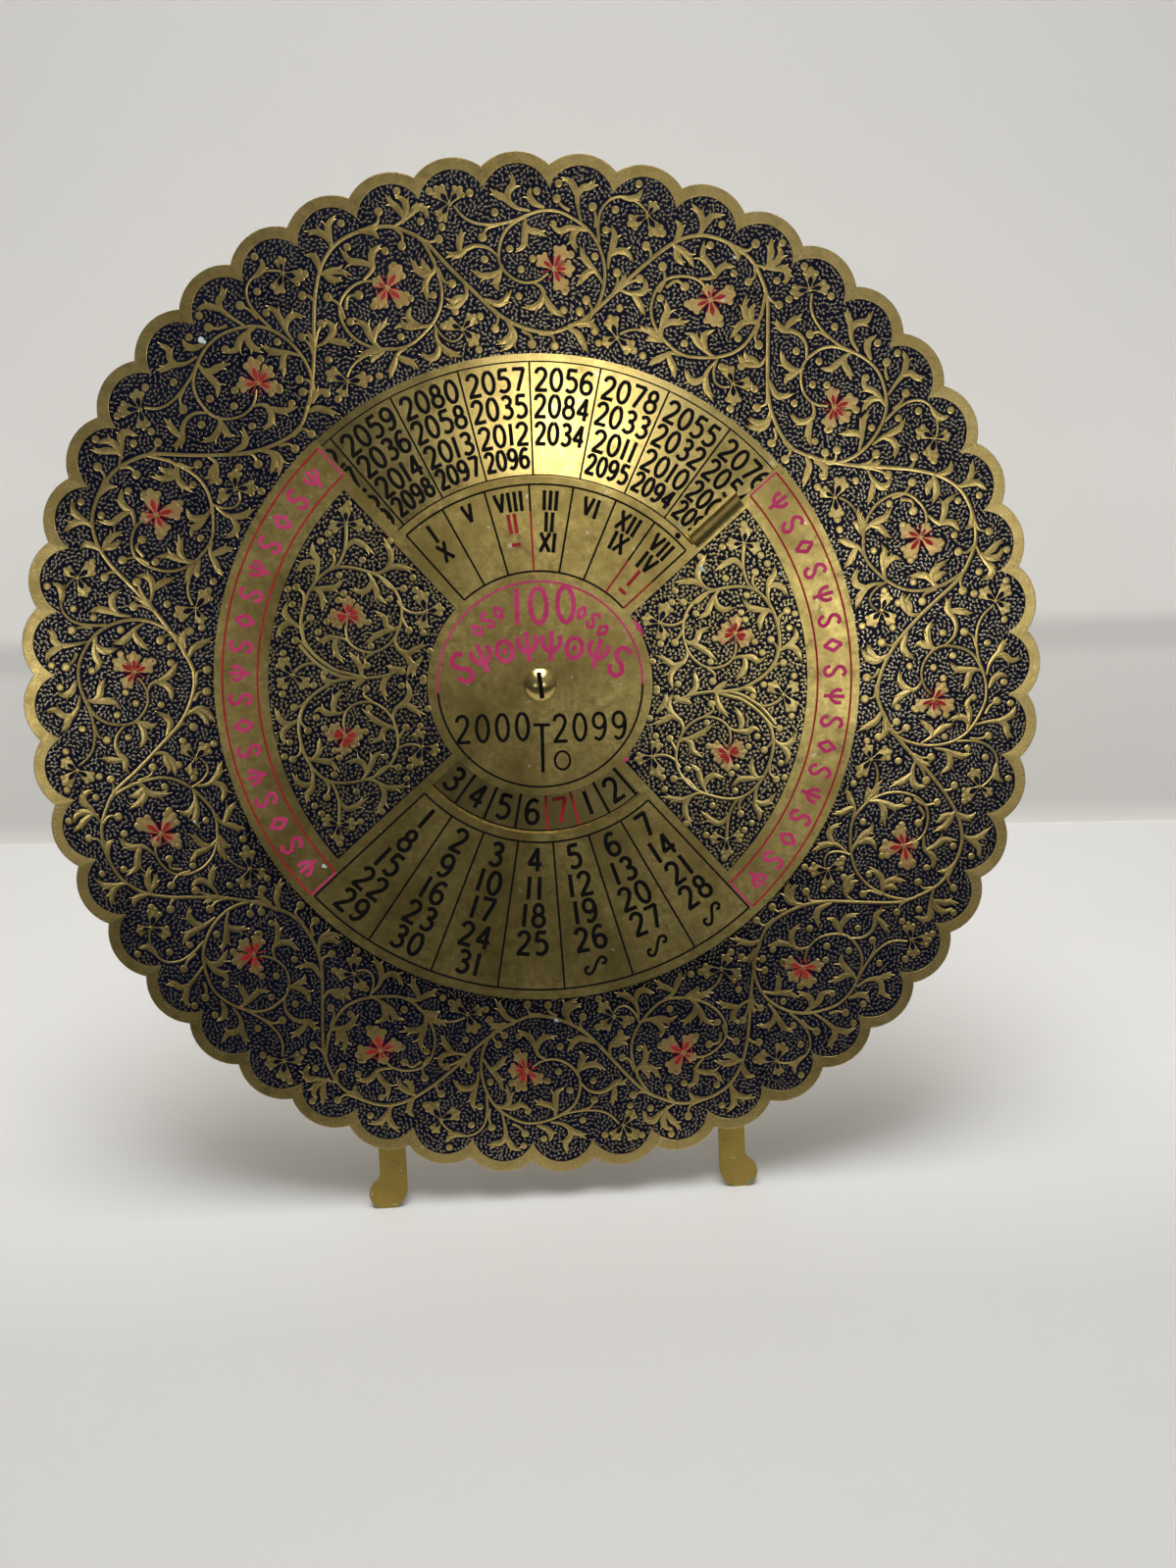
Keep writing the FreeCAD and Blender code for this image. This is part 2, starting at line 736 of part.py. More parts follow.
def strut_rod(name, radius, length):
    """A cylinder on the hinge's axis, drawn in the strut's frame."""
    return solid(
        "Cylinder",
        name,
        Rotation(UP_PLATE, QUARTER_TURN),
        Radius=radius,
        Height=length,
        Placement__Base__x=f"-({length}) / 2",
    )


def strut_outline():
    """The strut's outline seen from behind, as a block: narrow at the hinge, wide at the foot."""
    body = doc.addObject("PartDesign::Body", "strut_outline")
    top, narrow_until = "strut_back - heel_run", "-knuckle_radius"
    wide_from, bottom = "foot_length - hinge_height", "-hinge_height - overrun"
    right = [
        ("strut_foot_width / 2", bottom),
        ("strut_foot_width / 2", wide_from),
        ("strut_width / 2", narrow_until),
        ("strut_width / 2", top),
    ]
    left = [(f"-{across}", height) for across, height in reversed(right)]
    sketch = outline(sketch_on(body, "strut_back_sketch", "XZ_Plane"), right + left)
    pad(body, "strut_outline_block", sketch, "2 * (foot_back + overrun)", middle=True)
    return body


def check_and_export():
    """Stops if anything failed, then writes each piece to its own STEP file."""
    doc.recompute()
    failed = [thing.Name for thing in doc.Objects if {"Invalid", "Error"} & set(thing.State)]
    if failed:
        raise RuntimeError(f"these objects failed: {failed}")
    os.makedirs("parts", exist_ok=True)
    for piece in pieces:
        shape = piece.Shape
        if shape.isNull() or not shape.isValid():
            raise RuntimeError(f"{piece.Label} has no valid shape")
        shape.exportStep(f"parts/{piece.Label}.step")
        box = shape.BoundBox
        print(
            f"{piece.Label}: {len(shape.Solids)} solid(s), {shape.Volume:.1f} mm3,"
            f" X {box.XMin:.2f} to {box.XMax:.2f}, Y {box.YMin:.2f} to {box.YMax:.2f},"
            f" Z {box.ZMin:.2f} to {box.ZMax:.2f}"
        )


fill_sheet()
make_base_plate()
make_year_disc()
make_cover_disc()
make_pivot()
make_legs()
make_rivets()
make_hinge_leaf()
make_hinge_pin()
make_rear_strut()
check_and_export()
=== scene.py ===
# The looks of the perpetual desk calendar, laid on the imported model.

import json
import math

import bpy
import numpy as np
from mathutils import Matrix, Vector


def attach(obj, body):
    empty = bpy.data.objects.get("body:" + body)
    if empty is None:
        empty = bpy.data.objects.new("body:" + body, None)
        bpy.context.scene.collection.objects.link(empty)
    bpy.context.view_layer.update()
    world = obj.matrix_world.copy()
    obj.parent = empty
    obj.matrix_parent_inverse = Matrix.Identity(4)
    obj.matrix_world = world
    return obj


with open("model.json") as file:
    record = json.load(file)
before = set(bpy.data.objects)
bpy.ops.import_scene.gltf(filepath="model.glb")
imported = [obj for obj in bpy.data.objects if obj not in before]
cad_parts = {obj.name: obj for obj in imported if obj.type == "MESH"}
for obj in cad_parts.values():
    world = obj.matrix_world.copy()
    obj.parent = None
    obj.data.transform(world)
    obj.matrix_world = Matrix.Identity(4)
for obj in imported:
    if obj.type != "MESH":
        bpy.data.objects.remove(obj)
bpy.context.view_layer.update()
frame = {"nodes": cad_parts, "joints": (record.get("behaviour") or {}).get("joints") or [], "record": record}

# The plate's own frame, in millimetres: across, up the leaning plate, and out of its front.
MM = 0.001
spin = next(joint for joint in frame["joints"] if joint["name"] == "year_dial_spin")
pivot = np.array(spin["pos_m"])
normal = np.array(spin["axis"]) / np.linalg.norm(spin["axis"])
across = np.array([1.0, 0.0, 0.0])
upward = np.cross(normal, across)
lean = math.atan2(normal[2], -normal[1])


def plate_points(node):
    """A node's corners in the plate's frame."""
    corners = np.array([corner.co for corner in frame["nodes"][node].data.vertices]) - pivot
    return np.c_[corners @ across, corners @ upward, corners @ normal] / MM


def row_points(points):
    """Points of the plate's frame, in metres in the row frame."""
    points = np.asarray(points, float) * MM
    return pivot + points[:, :1] * across + points[:, 1:2] * upward + points[:, 2:] * normal


def far(points):
    """The largest distance of points from the pivot, across the plate."""
    return np.hypot(points[:, 0], points[:, 1]).max()


plate_corners = plate_points("base_plate")
cover_corners = plate_points("cover_disc")
plate_radius = far(plate_corners)
disc_radius = far(cover_corners)
plate_level = plate_corners[:, 2].max()
year_level = plate_points("year_disc")[:, 2].max()
rim_corners = cover_corners[np.hypot(cover_corners[:, 0], cover_corners[:, 1]) > disc_radius - 0.5]
cover_level = rim_corners[:, 2].max()

# Heights above the sheet that carries the relief, and how much its shapes are crowned.
root_depth = 0.05
enamel_rise = 0.03
relief_rise = 0.11
grain_rise = 0.09
ink_rise = 0.03
crown = 0.035
ink_crown = 0.004
# Every random draw starts from the seed.
seed = 2099


class Relief:
    """Low shapes with side walls, gathered into one mesh in the plate's frame."""

    def __init__(self, level):
        self.level = level
        self.blocks = []
        self.faces = []
        self.count = 0
        self.discs = []

    def add_block(self, points, faces):
        self.blocks.append(np.asarray(points, float))
        self.faces.extend(tuple(self.count + k for k in face) for face in faces)
        self.count += len(points)

    def ribbon(self, spine, halves, rise=relief_rise, bulge=crown):
        """A strip along a spine, with a half width at each of its points and a slight crown."""
        spine = np.asarray(spine, float)
        halves = np.broadcast_to(np.asarray(halves, float), (len(spine),))[:, None]
        along = np.gradient(spine, axis=0)
        along /= np.maximum(np.linalg.norm(along, axis=1), 1e-9)[:, None]
        side = np.c_[-along[:, 1], along[:, 0]] * halves
        low, high = self.level - root_depth, self.level + rise
        count = len(spine)
        rows = [
            np.c_[spine + side, np.full(count, low)],
            np.c_[spine + side, np.full(count, high - bulge)],
            np.c_[spine, np.full(count, high)],
            np.c_[spine - side, np.full(count, high - bulge)],
            np.c_[spine - side, np.full(count, low)],
        ]
        points = np.stack(rows, axis=1).reshape(-1, 3)
        wide = len(rows)
        faces = []
        for k in range(count - 1):
            for j in range(wide):
                n = (j + 1) % wide
                faces.append((wide * k + j, wide * k + n, wide * (k + 1) + n, wide * (k + 1) + j))
        faces.append(tuple(range(wide - 1, -1, -1)))
        faces.append(tuple(wide * (count - 1) + j for j in range(wide)))
        self.add_block(points, faces)
        self.discs.extend((x, y, half) for (x, y), half in zip(spine, halves[:, 0]))

    def dome(self, centre, radius, rise=relief_rise, bulge=crown, sides=14):
        """A round dot with a slight crown."""
        turn = np.arange(sides) * 2 * np.pi / sides
        ring = np.c_[centre[0] + radius * np.cos(turn), centre[1] + radius * np.sin(turn)]
        inner = np.c_[centre[0] + radius * np.cos(turn) * 0.6, centre[1] + radius * np.sin(turn) * 0.6]
        low, high = self.level - root_depth, self.level + rise
        points = np.r_[
            np.c_[ring, np.full(sides, low)],
            np.c_[ring, np.full(sides, high - bulge)],
            np.c_[inner, np.full(sides, high)],
        ]
        faces = []
        for row in range(2):
            for j in range(sides):
                n = (j + 1) % sides
                start = row * sides
                faces.append((start + j, start + n, start + sides + n, start + sides + j))
        faces.append(tuple(2 * sides + j for j in range(sides)))
        faces.append(tuple(range(sides - 1, -1, -1)))
        self.add_block(points, faces)
        self.discs.append((centre[0], centre[1], radius))

    def grains(self, places, turns, lengths, widths, rise=grain_rise):
        """Many short crescents."""
        share = np.array([(-1, -0.75), (-0.55, -0.25), (0, -0.05), (0.55, -0.25), (1, -0.75), (0.66, 0.55),
                          (0, 1), (-0.66, 0.55)])
        local = share[None] * np.stack([lengths, widths], axis=1)[:, None] / 2
        cos, sin = np.cos(turns)[:, None], np.sin(turns)[:, None]
        x = places[:, :1] + local[..., 0] * cos - local[..., 1] * sin
        y = places[:, 1:] + local[..., 0] * sin + local[..., 1] * cos
        low = np.full_like(x, self.level - root_depth)
        high = np.full_like(x, self.level + rise)
        points = np.concatenate([np.stack([x, y, low], -1), np.stack([x, y, high], -1)], axis=1)
        sides = len(share)
        shape = [tuple(range(sides - 1, -1, -1)), tuple(range(sides, 2 * sides))]
        shape += [(j, (j + 1) % sides, sides + (j + 1) % sides, sides + j) for j in range(sides)]
        for k in range(len(places)):
            start = self.count + k * 2 * sides
            self.faces.extend(tuple(start + j for j in face) for face in shape)
        self.blocks.append(points.reshape(-1, 3))
        self.count += len(places) * 2 * sides

    def piece(self, name, material, body, slot, warp=None):
        """Turns what was gathered into an object that rides on a body."""
        points = np.concatenate(self.blocks)
        if warp:
            points[:, :2] = warp(points[:, :2])
        make_piece(name, row_points(points), self.faces, material, body)


def add_mesh(name, points, faces, material):
    mesh = bpy.data.meshes.new(name)
    mesh.from_pydata(np.asarray(points).tolist(), [], faces)
    mesh.materials.append(material)
    mesh.update()
    made = bpy.data.objects.new(name, mesh)
    bpy.context.scene.collection.objects.link(made)
    return made


def make_piece(name, points, faces, material, body):
    made = add_mesh(name, points, faces, material)
    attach(made, body)


# Curves on the plate. An angle is in degrees clockwise from the plate's top.

def polar(angle, radius):
    turn = np.radians(angle)
    return np.stack([radius * np.sin(turn), radius * np.cos(turn)], axis=-1)


def places(pairs, turn):
    """Points from pairs of an angle and a radius, turned on by an angle."""
    pairs = np.asarray(pairs, float)
    return polar(pairs[:, 0] + turn, pairs[:, 1])


def smooth_line(points, step=0.9):
    """A centripetal spline through points, cut into steps of about the given length."""
    points = np.asarray(points, float)
    if len(points) < 3:
        return line(points[0], points[-1], step)
    ends = [2 * points[0] - points[1], *points, 2 * points[-1] - points[-2]]
    out = []
    for p0, p1, p2, p3 in zip(ends, ends[1:], ends[2:], ends[3:]):
        knots = [0.0]
        for a, b in ((p0, p1), (p1, p2), (p2, p3)):
            knots.append(knots[-1] + max(np.linalg.norm(b - a), 1e-6) ** 0.5)
        t0, t1, t2, t3 = knots
        count = max(2, int(math.ceil(np.linalg.norm(p2 - p1) / step)) + 1)
        t = np.linspace(t1, t2, count)[:, None]
        a1 = (t1 - t) / (t1 - t0) * p0 + (t - t0) / (t1 - t0) * p1
        a2 = (t2 - t) / (t2 - t1) * p1 + (t - t1) / (t2 - t1) * p2
        a3 = (t3 - t) / (t3 - t2) * p2 + (t - t2) / (t3 - t2) * p3
        b1 = (t2 - t) / (t2 - t0) * a1 + (t - t0) / (t2 - t0) * a2
        b2 = (t3 - t) / (t3 - t1) * a2 + (t - t1) / (t3 - t1) * a3
        curve = (t2 - t) / (t2 - t1) * b1 + (t - t1) / (t2 - t1) * b2
        out.extend(curve[:-1])
    out.append(points[-1])
    return np.array(out)


def line(start, end, step=2.0):
    start, end = np.asarray(start, float), np.asarray(end, float)
    count = max(2, int(np.linalg.norm(end - start) / step) + 1)
    return start + (end - start) * np.linspace(0, 1, count)[:, None]


def along_share(points):
    """How far along a line each of its points is, from 0 to 1."""
    steps = np.linalg.norm(np.diff(points, axis=0), axis=1)
    return np.r_[0, np.cumsum(steps)] / max(steps.sum(), 1e-9)


def arc_line(radius, start, end, step=1.5):
    count = max(2, int(abs(end - start) * 1.5 / step) + 1)
    return polar(np.linspace(start, end, count), radius)


# Points in tables are written x,y with spaces between. A slash parts lines of points, and a semicolon groups.

def read(text):
    return [tuple(float(number) for number in pair.split(",")) for pair in text.split()]


def read_lines(text):
    return [read(part) for part in text.split("/")]


def read_groups(text):
    return [read_lines(part) for part in text.split(";")]


# The floral pattern's parts.

def bent(start, heading, end):
    """A curve that leaves its start along a heading and runs to its end."""
    reach = np.linalg.norm(end - start)
    control = start + heading / max(np.linalg.norm(heading), 1e-9) * reach * 0.55
    t = np.linspace(0, 1, 7)[:, None]
    return (1 - t) ** 2 * start + 2 * t * (1 - t) * control + t ** 2 * end


def draw_lobe(relief, spine, width):
    """A lobe along a spine, which ends in a point with a tooth on each side."""
    share = along_share(spine)
    swell = np.interp(share, [0, 0.2, 0.48, 0.70, 0.88, 1.0], [0.50, 0.80, 1.0, 0.66, 0.32, 0.05])
    relief.ribbon(spine, width / 2 * swell)
    length = np.linalg.norm(np.diff(spine, axis=0), axis=1).sum()
    half = len(spine) // 2
    first, second = spine[half] - spine[0], spine[-1] - spine[half]
    way = 1.0 if first[0] * second[1] - first[1] * second[0] > 0 else -1.0
    for at, hand, size in ((0.44, -1, 0.27), (0.66, 1, 0.19)):
        k = int(np.searchsorted(share, at))
        forward = spine[k] - spine[k - 1]
        forward = forward / np.linalg.norm(forward)
        side = np.array([-forward[1], forward[0]]) * way * hand
        root = spine[k] + side * width * 0.16
        tip = root + (forward * 0.95 + side * 0.62) * size * length
        tooth = bent(root - forward * 0.4, forward, tip)
        relief.ribbon(tooth, width / 2 * np.interp(along_share(tooth), [0, 0.45, 1.0], [0.52, 0.36, 0.05]))


def draw_stalk(relief, spine, width):
    relief.ribbon(spine, width / 2 * np.interp(along_share(spine), [0, 0.6, 1], [0.30, 0.50, 0.72]))


def on_sheet(points, sheet, middle, hand):
    """Points of a drawing sheet in millimetres on the plate, for the half on one hand of a middle angle."""
    squares, top, middle_x, sheet_turn = sheet
    points = np.atleast_2d(np.asarray(points, float))
    x = -hand * (points[:, :1] - middle_x) / squares
    y = top - points[:, 1:] / squares
    turn = math.radians(middle + hand * sheet_turn)
    return x * np.array([math.cos(turn), -math.sin(turn)]) + y * np.array([math.sin(turn), math.cos(turn)])


def draw_leaves(relief, leaves, width, *where):
    """Each leaf is a stalk's points, then the points of each of its lobes."""
    for stalk, *lobes_of_leaf in leaves:
        draw_stalk(relief, smooth_line(on_sheet(stalk, *where), 0.6), width)
        for points in lobes_of_leaf:
            draw_lobe(relief, smooth_line(on_sheet(points, *where), 0.45), width)


def draw_hooks(relief, hooks, radius, *where):
    """Tendrils that end in a round dot."""
    for points in hooks:
        spine = smooth_line(on_sheet(points, *where), 0.6)
        relief.ribbon(spine, np.linspace(0.42, 0.25, len(spine)))
        relief.dome(spine[-1], radius)


def draw_petals(relief, slits, flower, slit_reach, slit_width, *where):
    """A flower is its centre, then the ends of its petals."""
    centre = on_sheet(flower[0], *where)[0]
    for end in on_sheet(flower[1], *where):
        draw_petal(relief, slits, centre, end, slit_reach, slit_width)
    relief.dome(centre, 0.6, relief_rise + 0.012)


def draw_rays(slits, flower, *where):
    """Thin strokes of red paint between a flower's petals."""
    centre = on_sheet(flower[0], *where)[0]
    ends = on_sheet(flower[1], *where) - centre
    turns = np.sort(np.arctan2(ends[:, 1], ends[:, 0]))
    reach = np.linalg.norm(ends, axis=1).mean()
    for first, second in zip(turns, np.r_[turns[1:], turns[0] + 2 * np.pi]):
        for turn in np.linspace(first, second, 4)[1:-1]:
            ahead = np.array([math.cos(turn), math.sin(turn)])
            spine = line(centre + ahead * reach * 0.16, centre + ahead * reach * 0.58, 0.4)
            slits.ribbon(spine, np.linspace(0.11, 0.17, len(spine)), relief_rise + 0.015, 0.005)


def draw_petal(relief, slits, centre, end, slit_reach, slit_width):
    """A petal with a scalloped end and a dark slit along its inner half."""
    run = np.asarray(end) - centre
    length = np.linalg.norm(run)
    ahead = run / length
    side = np.array([ahead[1], -ahead[0]])
    width = length * 0.64
    spine = centre + ahead * length * np.linspace(0.06, 0.92, 9)[:, None]
    swell = np.interp(along_share(spine), [0, 0.25, 0.5, 0.75, 1.0], [0.22, 0.42, 0.82, 0.95, 0.55])
    relief.ribbon(spine, width / 2 * swell)
    for out, off in ((0.93, 0.0), (0.76, -0.42), (0.76, 0.42)):
        relief.dome(centre + ahead * length * out + side * width * off, width * 0.21, sides=9)
    slit = line(centre + ahead * length * 0.08, centre + ahead * length * slit_reach, length * 0.10)
    share = along_share(slit)
    slits.ribbon(slit, width * slit_width * (0.35 + np.sin(share ** 1.5 * np.pi)), relief_rise + 0.02, 0.005)


def draw_pattern(reliefs, spines, leaves, hooks, dots, flowers, reds, sizes, where):
    """All that grows in one repeat. The sizes are a leaf's width, the radii of a tendril's end and of a dot,
    and for plain and red flowers how far the petals' slits reach and how wide they are."""
    vines, dark, painted, bright = reliefs
    leaf_width, hook_radius, dot_radius, plain_slit, red_slit = sizes
    for spine, start, end in spines:
        vines.ribbon(spine, (start + (end - start) * along_share(spine)) / 2)
    draw_leaves(vines, leaves, leaf_width, *where)
    draw_hooks(vines, hooks, hook_radius, *where)
    for dot in on_sheet(dots, *where):
        vines.dome(dot, dot_radius)
    for flower in flowers:
        draw_petals(vines, dark, flower, *plain_slit, *where)
    for flower in reds:
        draw_petals(painted, bright, flower, *red_slit, *where)
        draw_rays(bright, flower, *where)


# One repeat of the wide border, eight times round. Angles are from the repeat's middle.
repeats = 8
repeat_angle = 360 / repeats
first_repeat = 120.0
main_vine = read("""
    -25,85.3 -23.2,86.6 -21,88.8 -19.2,91.3 -17.4,94.4 -15.5,98.6 -13.8,102.9 -12.2,107.2 -10.3,111.5
    -8.8,113.8 -7,115.5 -4.8,116.1 -2.4,115.8 -0.4,114.7 1.6,112.1 3.3,109.2 5.3,103.4 7.6,97.1 10.1,91.5
    12,88.7 14.4,86.6 17.5,85.2 20,85.3
""")
round_first_flower = read("""
    2.9,109.8 3.7,105.2 4,100.7 3.8,96.9 2.9,93.6 1.2,90.7 -0.9,88.7 -3.2,87.4 -5.1,87.6 -6.9,88.7
    -8.4,90.2 -9.8,92.6 -10.6,95.4 -10.8,98.4 -10.5,101.3 -9.6,103.6 -8.4,104.8 -6.9,105.4 -5.6,105.1
    -4.6,103.9 -3.9,102.4
""")
upper_vine = read("""
    25.2,89.6 26.2,92.5 26.8,96.1 26.8,99.9 26.2,103.7 25.2,107 23.8,109.8 21.6,112.2 19.7,113.4
    17.8,113.3 16,112.4 14.5,111.4 12.8,110.9 11.1,111 9.6,111.8 8.5,113.3 7.6,116
""")
round_second_flower = read("""
    16.2,112.5 14.9,111.4 13.7,110 12.8,107.9 12.3,105.2 12.1,102.5 12.5,100.2 13.5,98.1 14.8,96.8
    16.4,96.6 17.7,97.4 18.8,98.9
""")
border_vines = [
    (main_vine, 0.85, 0.85),
    (round_first_flower, 0.8, 0.6),
    (upper_vine, 0.8, 0.6),
    (round_second_flower, 0.75, 0.6),
    (read("-6,88.2 -7.6,89.1 -9.3,89.6 -11.4,89.6 -13.1,88.8 -14.4,87.4"), 0.75, 0.55),
    (read("-19.5,106.9 -19.9,110.8 -19.8,114.6 -19,117.3 -17.8,118.5 -16.5,118.4 -15.3,117.4 -14.4,116"),
     0.7, 0.5),
    (read("1.3,90.5 1.8,87.6 3,85.4 4.4,85.4 5.3,86.5"), 0.6, 0.5),
]
# The rest of the repeat is drawn on a sheet with 20 squares to the millimetre. Its point (1000, 0) lies
# 126 mm out.
border_sheet = (20, 126.0, 1000, 0.0)
border_sizes = (1.75, 1.05, 0.92, (0.60, 0.15), (0.62, 0.11))
border_clearance = 0.60
border_grain_sizes = (0.78, 1.08), (0.58, 0.78)
border_leaves = read_groups("""
    682,246 691,215 / 692,226 678,180 645,150 585,128 / 690,222 694,170 710,128 758,98;
    594,338 622,344 / 606,342 655,342 700,358 738,388 / 616,346 645,378 690,398;
    780,418 820,395 845,370 / 842,372 800,342 748,318 720,248 / 842,376 848,330 872,303 915,287;
    825,203 840,205 / 835,204 872,212 900,232 912,264;
    1044,232 1060,196 / 1060,204 1040,150 1020,118 1008,78 / 1061,208 1086,160 1078,120 1048,96;
    1000,230 1060,215 1108,196 / 1104,197 1146,184 1168,206 1172,250 / 1098,200 1130,178 1170,172;
    1143,418 1136,465 1110,484 / 1116,482 1075,476 1046,440 1026,376 / 1114,480 1070,510 1056,552 1048,604
    / 1110,484 1094,456 1082,424 1086,398;
    1246,588 1240,628 1222,648 / 1226,646 1190,660 1158,664 1116,648 / 1232,640 1196,634 1162,638
    1138,612;
    1045,712 1002,712 966,704 / 972,702 938,666 934,630 962,598 / 966,708 920,692 882,670 842,680;
    764,758 748,730 738,712 / 738,716 728,664 722,620 682,566 / 736,706 760,662 800,642 836,612;
    378,592 362,550 354,516 / 356,524 346,470 330,430 296,400 / 358,530 382,492 425,478 474,502;
    472,646 515,638 546,624 / 538,627 574,602 580,570 558,532 / 536,630 574,645 602,662 642,692;
    384,664 342,638 312,626 / 320,629 282,616 250,600 212,562 / 328,630 302,650 286,690 274,738;
    1612,360 1594,398 / 1592,395 1578,450 1556,490 1512,506 / 1594,395 1612,430 1648,452 1684,488;
    1888,522 1856,502 / 1856,502 1802,482 1752,482 1712,436 / 1852,500 1812,520 1800,560 1802,604;
    1640,345 1588,316 1560,282 / 1560,286 1542,252 1516,232 1492,194 / 1560,284 1566,240 1606,206
    1612,148;
    1714,352 1692,336 / 1698,340 1668,312 1661,274 1682,242;
    1868,472 1875,400 1885,350 / 1886,352 1880,300 1864,266 1832,244 / 1886,350 1920,320 1958,326
    1992,298;
    1436,512 1400,448 1350,422 1300,426 / 1272,430 1284,388 1300,360 1313,324 / 1310,424 1262,442 1228,432
    1196,440;
    1438,545 1420,572 / 1420,572 1372,580 1330,568 1292,526 / 1420,570 1400,600 1380,632 1388,664;
    1308,678 1334,700 / 1328,694 1370,722 1412,706 1448,672;
    1555,668 1585,700 1592,738 / 1592,728 1560,770 1520,782 1468,768 / 1590,742 1600,796 1620,830
    1654,864;
    1378,794 1394,838 / 1390,826 1396,882 1362,914 1308,928 / 1394,846 1376,878 1340,890 1300,892;
    880,785 838,792 815,812 / 820,806 792,846 772,868 758,898 / 822,806 850,832 880,858 906,898;
    1040,732 1030,780 1033,815 / 1034,810 1060,856 1090,878 1124,900 / 1034,816 1002,860 962,858 922,828;
    780,762 735,752 / 748,754 700,744 668,750 632,742;
    772,766 735,772 / 746,768 712,776 696,796;
    325,926 345,922 / 335,925 375,924 412,946 474,986;
    320,912 352,884 / 345,890 382,864 420,854 468,862;
    598,334 602,305 / 602,312 600,272 586,246 554,236;
    455,690 452,660 / 454,672 470,620 462,560;
    280,264 300,257 / 292,260 328,245 350,218 352,184
""")
border_hooks = read_lines("""
    238,448 216,402 180,366 / 386,842 386,792 344,768 / 452,690 447,622 424,584 / 642,560 640,492 602,446
    / 662,522 690,472 736,478 / 1000,238 1022,280 1006,320 / 868,203 930,190 952,144 / 1096,316 1150,346
    1194,346 / 1148,470 1160,540 1190,560 / 1320,718 1346,780 1318,822 / 1482,356 1422,360 1392,392 /
    1832,402 1802,372 1786,330 / 1690,906 1742,890 1728,856 / 1512,902 1570,932 1566,978 / 1440,868
    1472,906 1466,940 / 1700,918 1760,930 1772,962 / 535,440 516,414 488,405 / 470,640 500,590 535,550
""")
border_dots = read("""
    765,144 1065,80 1212,125 1130,246 757,257 920,319 939,392 786,545 664,580 867,725 971,560 1085,580
    1080,736 1160,687 1265,748 1211,890 664,864 715,867 1224,297 287,434 530,318 281,328 488,915 236,770
    1368,496 1493,480 1516,592 1584,560 1688,750 1470,713 1656,830 1771,604 1880,646 1815,267 1703,270
    324,170 510,720 1395,186 1480,300 1732,440
""")
border_flowers = read_groups("""
    428,283 / 436,206 518,336 366,361;
    560,848 / 480,776 662,866 505,908;
    1166,777 / 1096,722 1244,734 1214,864;
    1289,206 / 1244,116 1364,152 1216,264
""")
red_flowers = read_groups("""
    872,481 / 968,404 948,580 804,560 824,426;
    1669,640 / 1612,560 1752,558 1764,668 1684,743
""")


def wobble(points):
    """The engraver's unevenness: a smooth shift of up to about 0.4 mm."""
    x, y = points[:, 0], points[:, 1]
    radius = np.hypot(x, y)
    fade = np.sin(np.clip((radius - disc_radius) / (plate_radius - 8 - disc_radius), 0, 1) * np.pi) ** 0.5
    dx = 0.28 * np.sin(0.16 * x + 0.07 * y) + 0.16 * np.sin(0.11 * y - 0.23 * x + 2.0)
    dy = 0.28 * np.sin(0.14 * y - 0.09 * x + 1.0) + 0.16 * np.sin(0.21 * x + 0.19 * y + 4.0)
    return points + np.c_[dx, dy] * fade[:, None]


# Grains fill whatever the vines leave free, in cells of a fine grid.
grain_cell = 0.1
grain_spacing = 0.98


def free_cells(low, high, allowed, discs, margin):
    """A fine grid that is true where a grain's middle may lie."""
    xs = np.arange(low[0], high[0], grain_cell)
    ys = np.arange(low[1], high[1], grain_cell)
    gx, gy = np.meshgrid(xs, ys, indexing="ij")
    free = allowed(gx, gy)
    for x, y, radius in discs:
        reach = radius + margin
        i0, i1 = int((x - reach - low[0]) / grain_cell), int((x + reach - low[0]) / grain_cell) + 2
        j0, j1 = int((y - reach - low[1]) / grain_cell), int((y + reach - low[1]) / grain_cell) + 2
        i0, j0 = max(i0, 0), max(j0, 0)
        if i1 <= i0 or j1 <= j0:
            continue
        near = (gx[i0:i1, j0:j1] - x) ** 2 + (gy[i0:i1, j0:j1] - y) ** 2 < reach ** 2
        free[i0:i1, j0:j1] &= ~near
    return free


def scatter(free, low, rng):
    """Places at least the spacing apart, in random order, until the free cells are full."""
    cells = np.argwhere(free)
    rng.shuffle(cells)
    reach = int(grain_spacing / grain_cell)
    offsets = np.arange(-reach, reach + 1)
    stamp = (offsets[:, None] ** 2 + offsets[None] ** 2) >= reach ** 2
    open_cells = np.pad(free, reach)
    chosen = []
    for i, j in cells:
        if open_cells[i + reach, j + reach]:
            open_cells[i:i + 2 * reach + 1, j:j + 2 * reach + 1] &= stamp
            chosen.append((i, j))
    return np.array(low) + np.array(chosen) * grain_cell


def grain_turns(points, rng):
    """Grains swirl a little from place to place."""
    swirl = np.sin(points[:, 0] * 0.35) + np.cos(points[:, 1] * 0.31 + 1.3)
    return swirl * 1.2 + rng.normal(0, 0.40, len(points))


lobes = 48
lobe_radius = 11.7
inner_lobe_radius = 8.2
band_width = 2.7


def lobe_line(angles, radius, top):
    """The radius of a line of arcs, one to a lobe, that reaches the top in the middle of each."""
    step = 360 / lobes
    off = np.radians((angles + step / 2) % step - step / 2)
    centre = top - radius
    return centre * np.cos(off) + np.sqrt(radius ** 2 - (centre * np.sin(off)) ** 2)


def border_allowed(middle):
    def allowed(x, y):
        angle = np.degrees(np.arctan2(x, y))
        radius = np.hypot(x, y)
        inside = np.abs((angle - middle + 180) % 360 - 180) <= repeat_angle / 2
        limit = lobe_line(angle, inner_lobe_radius, plate_radius - band_width) - 0.5
        return inside & (radius > disc_radius + 0.25) & (radius < limit)
    return allowed


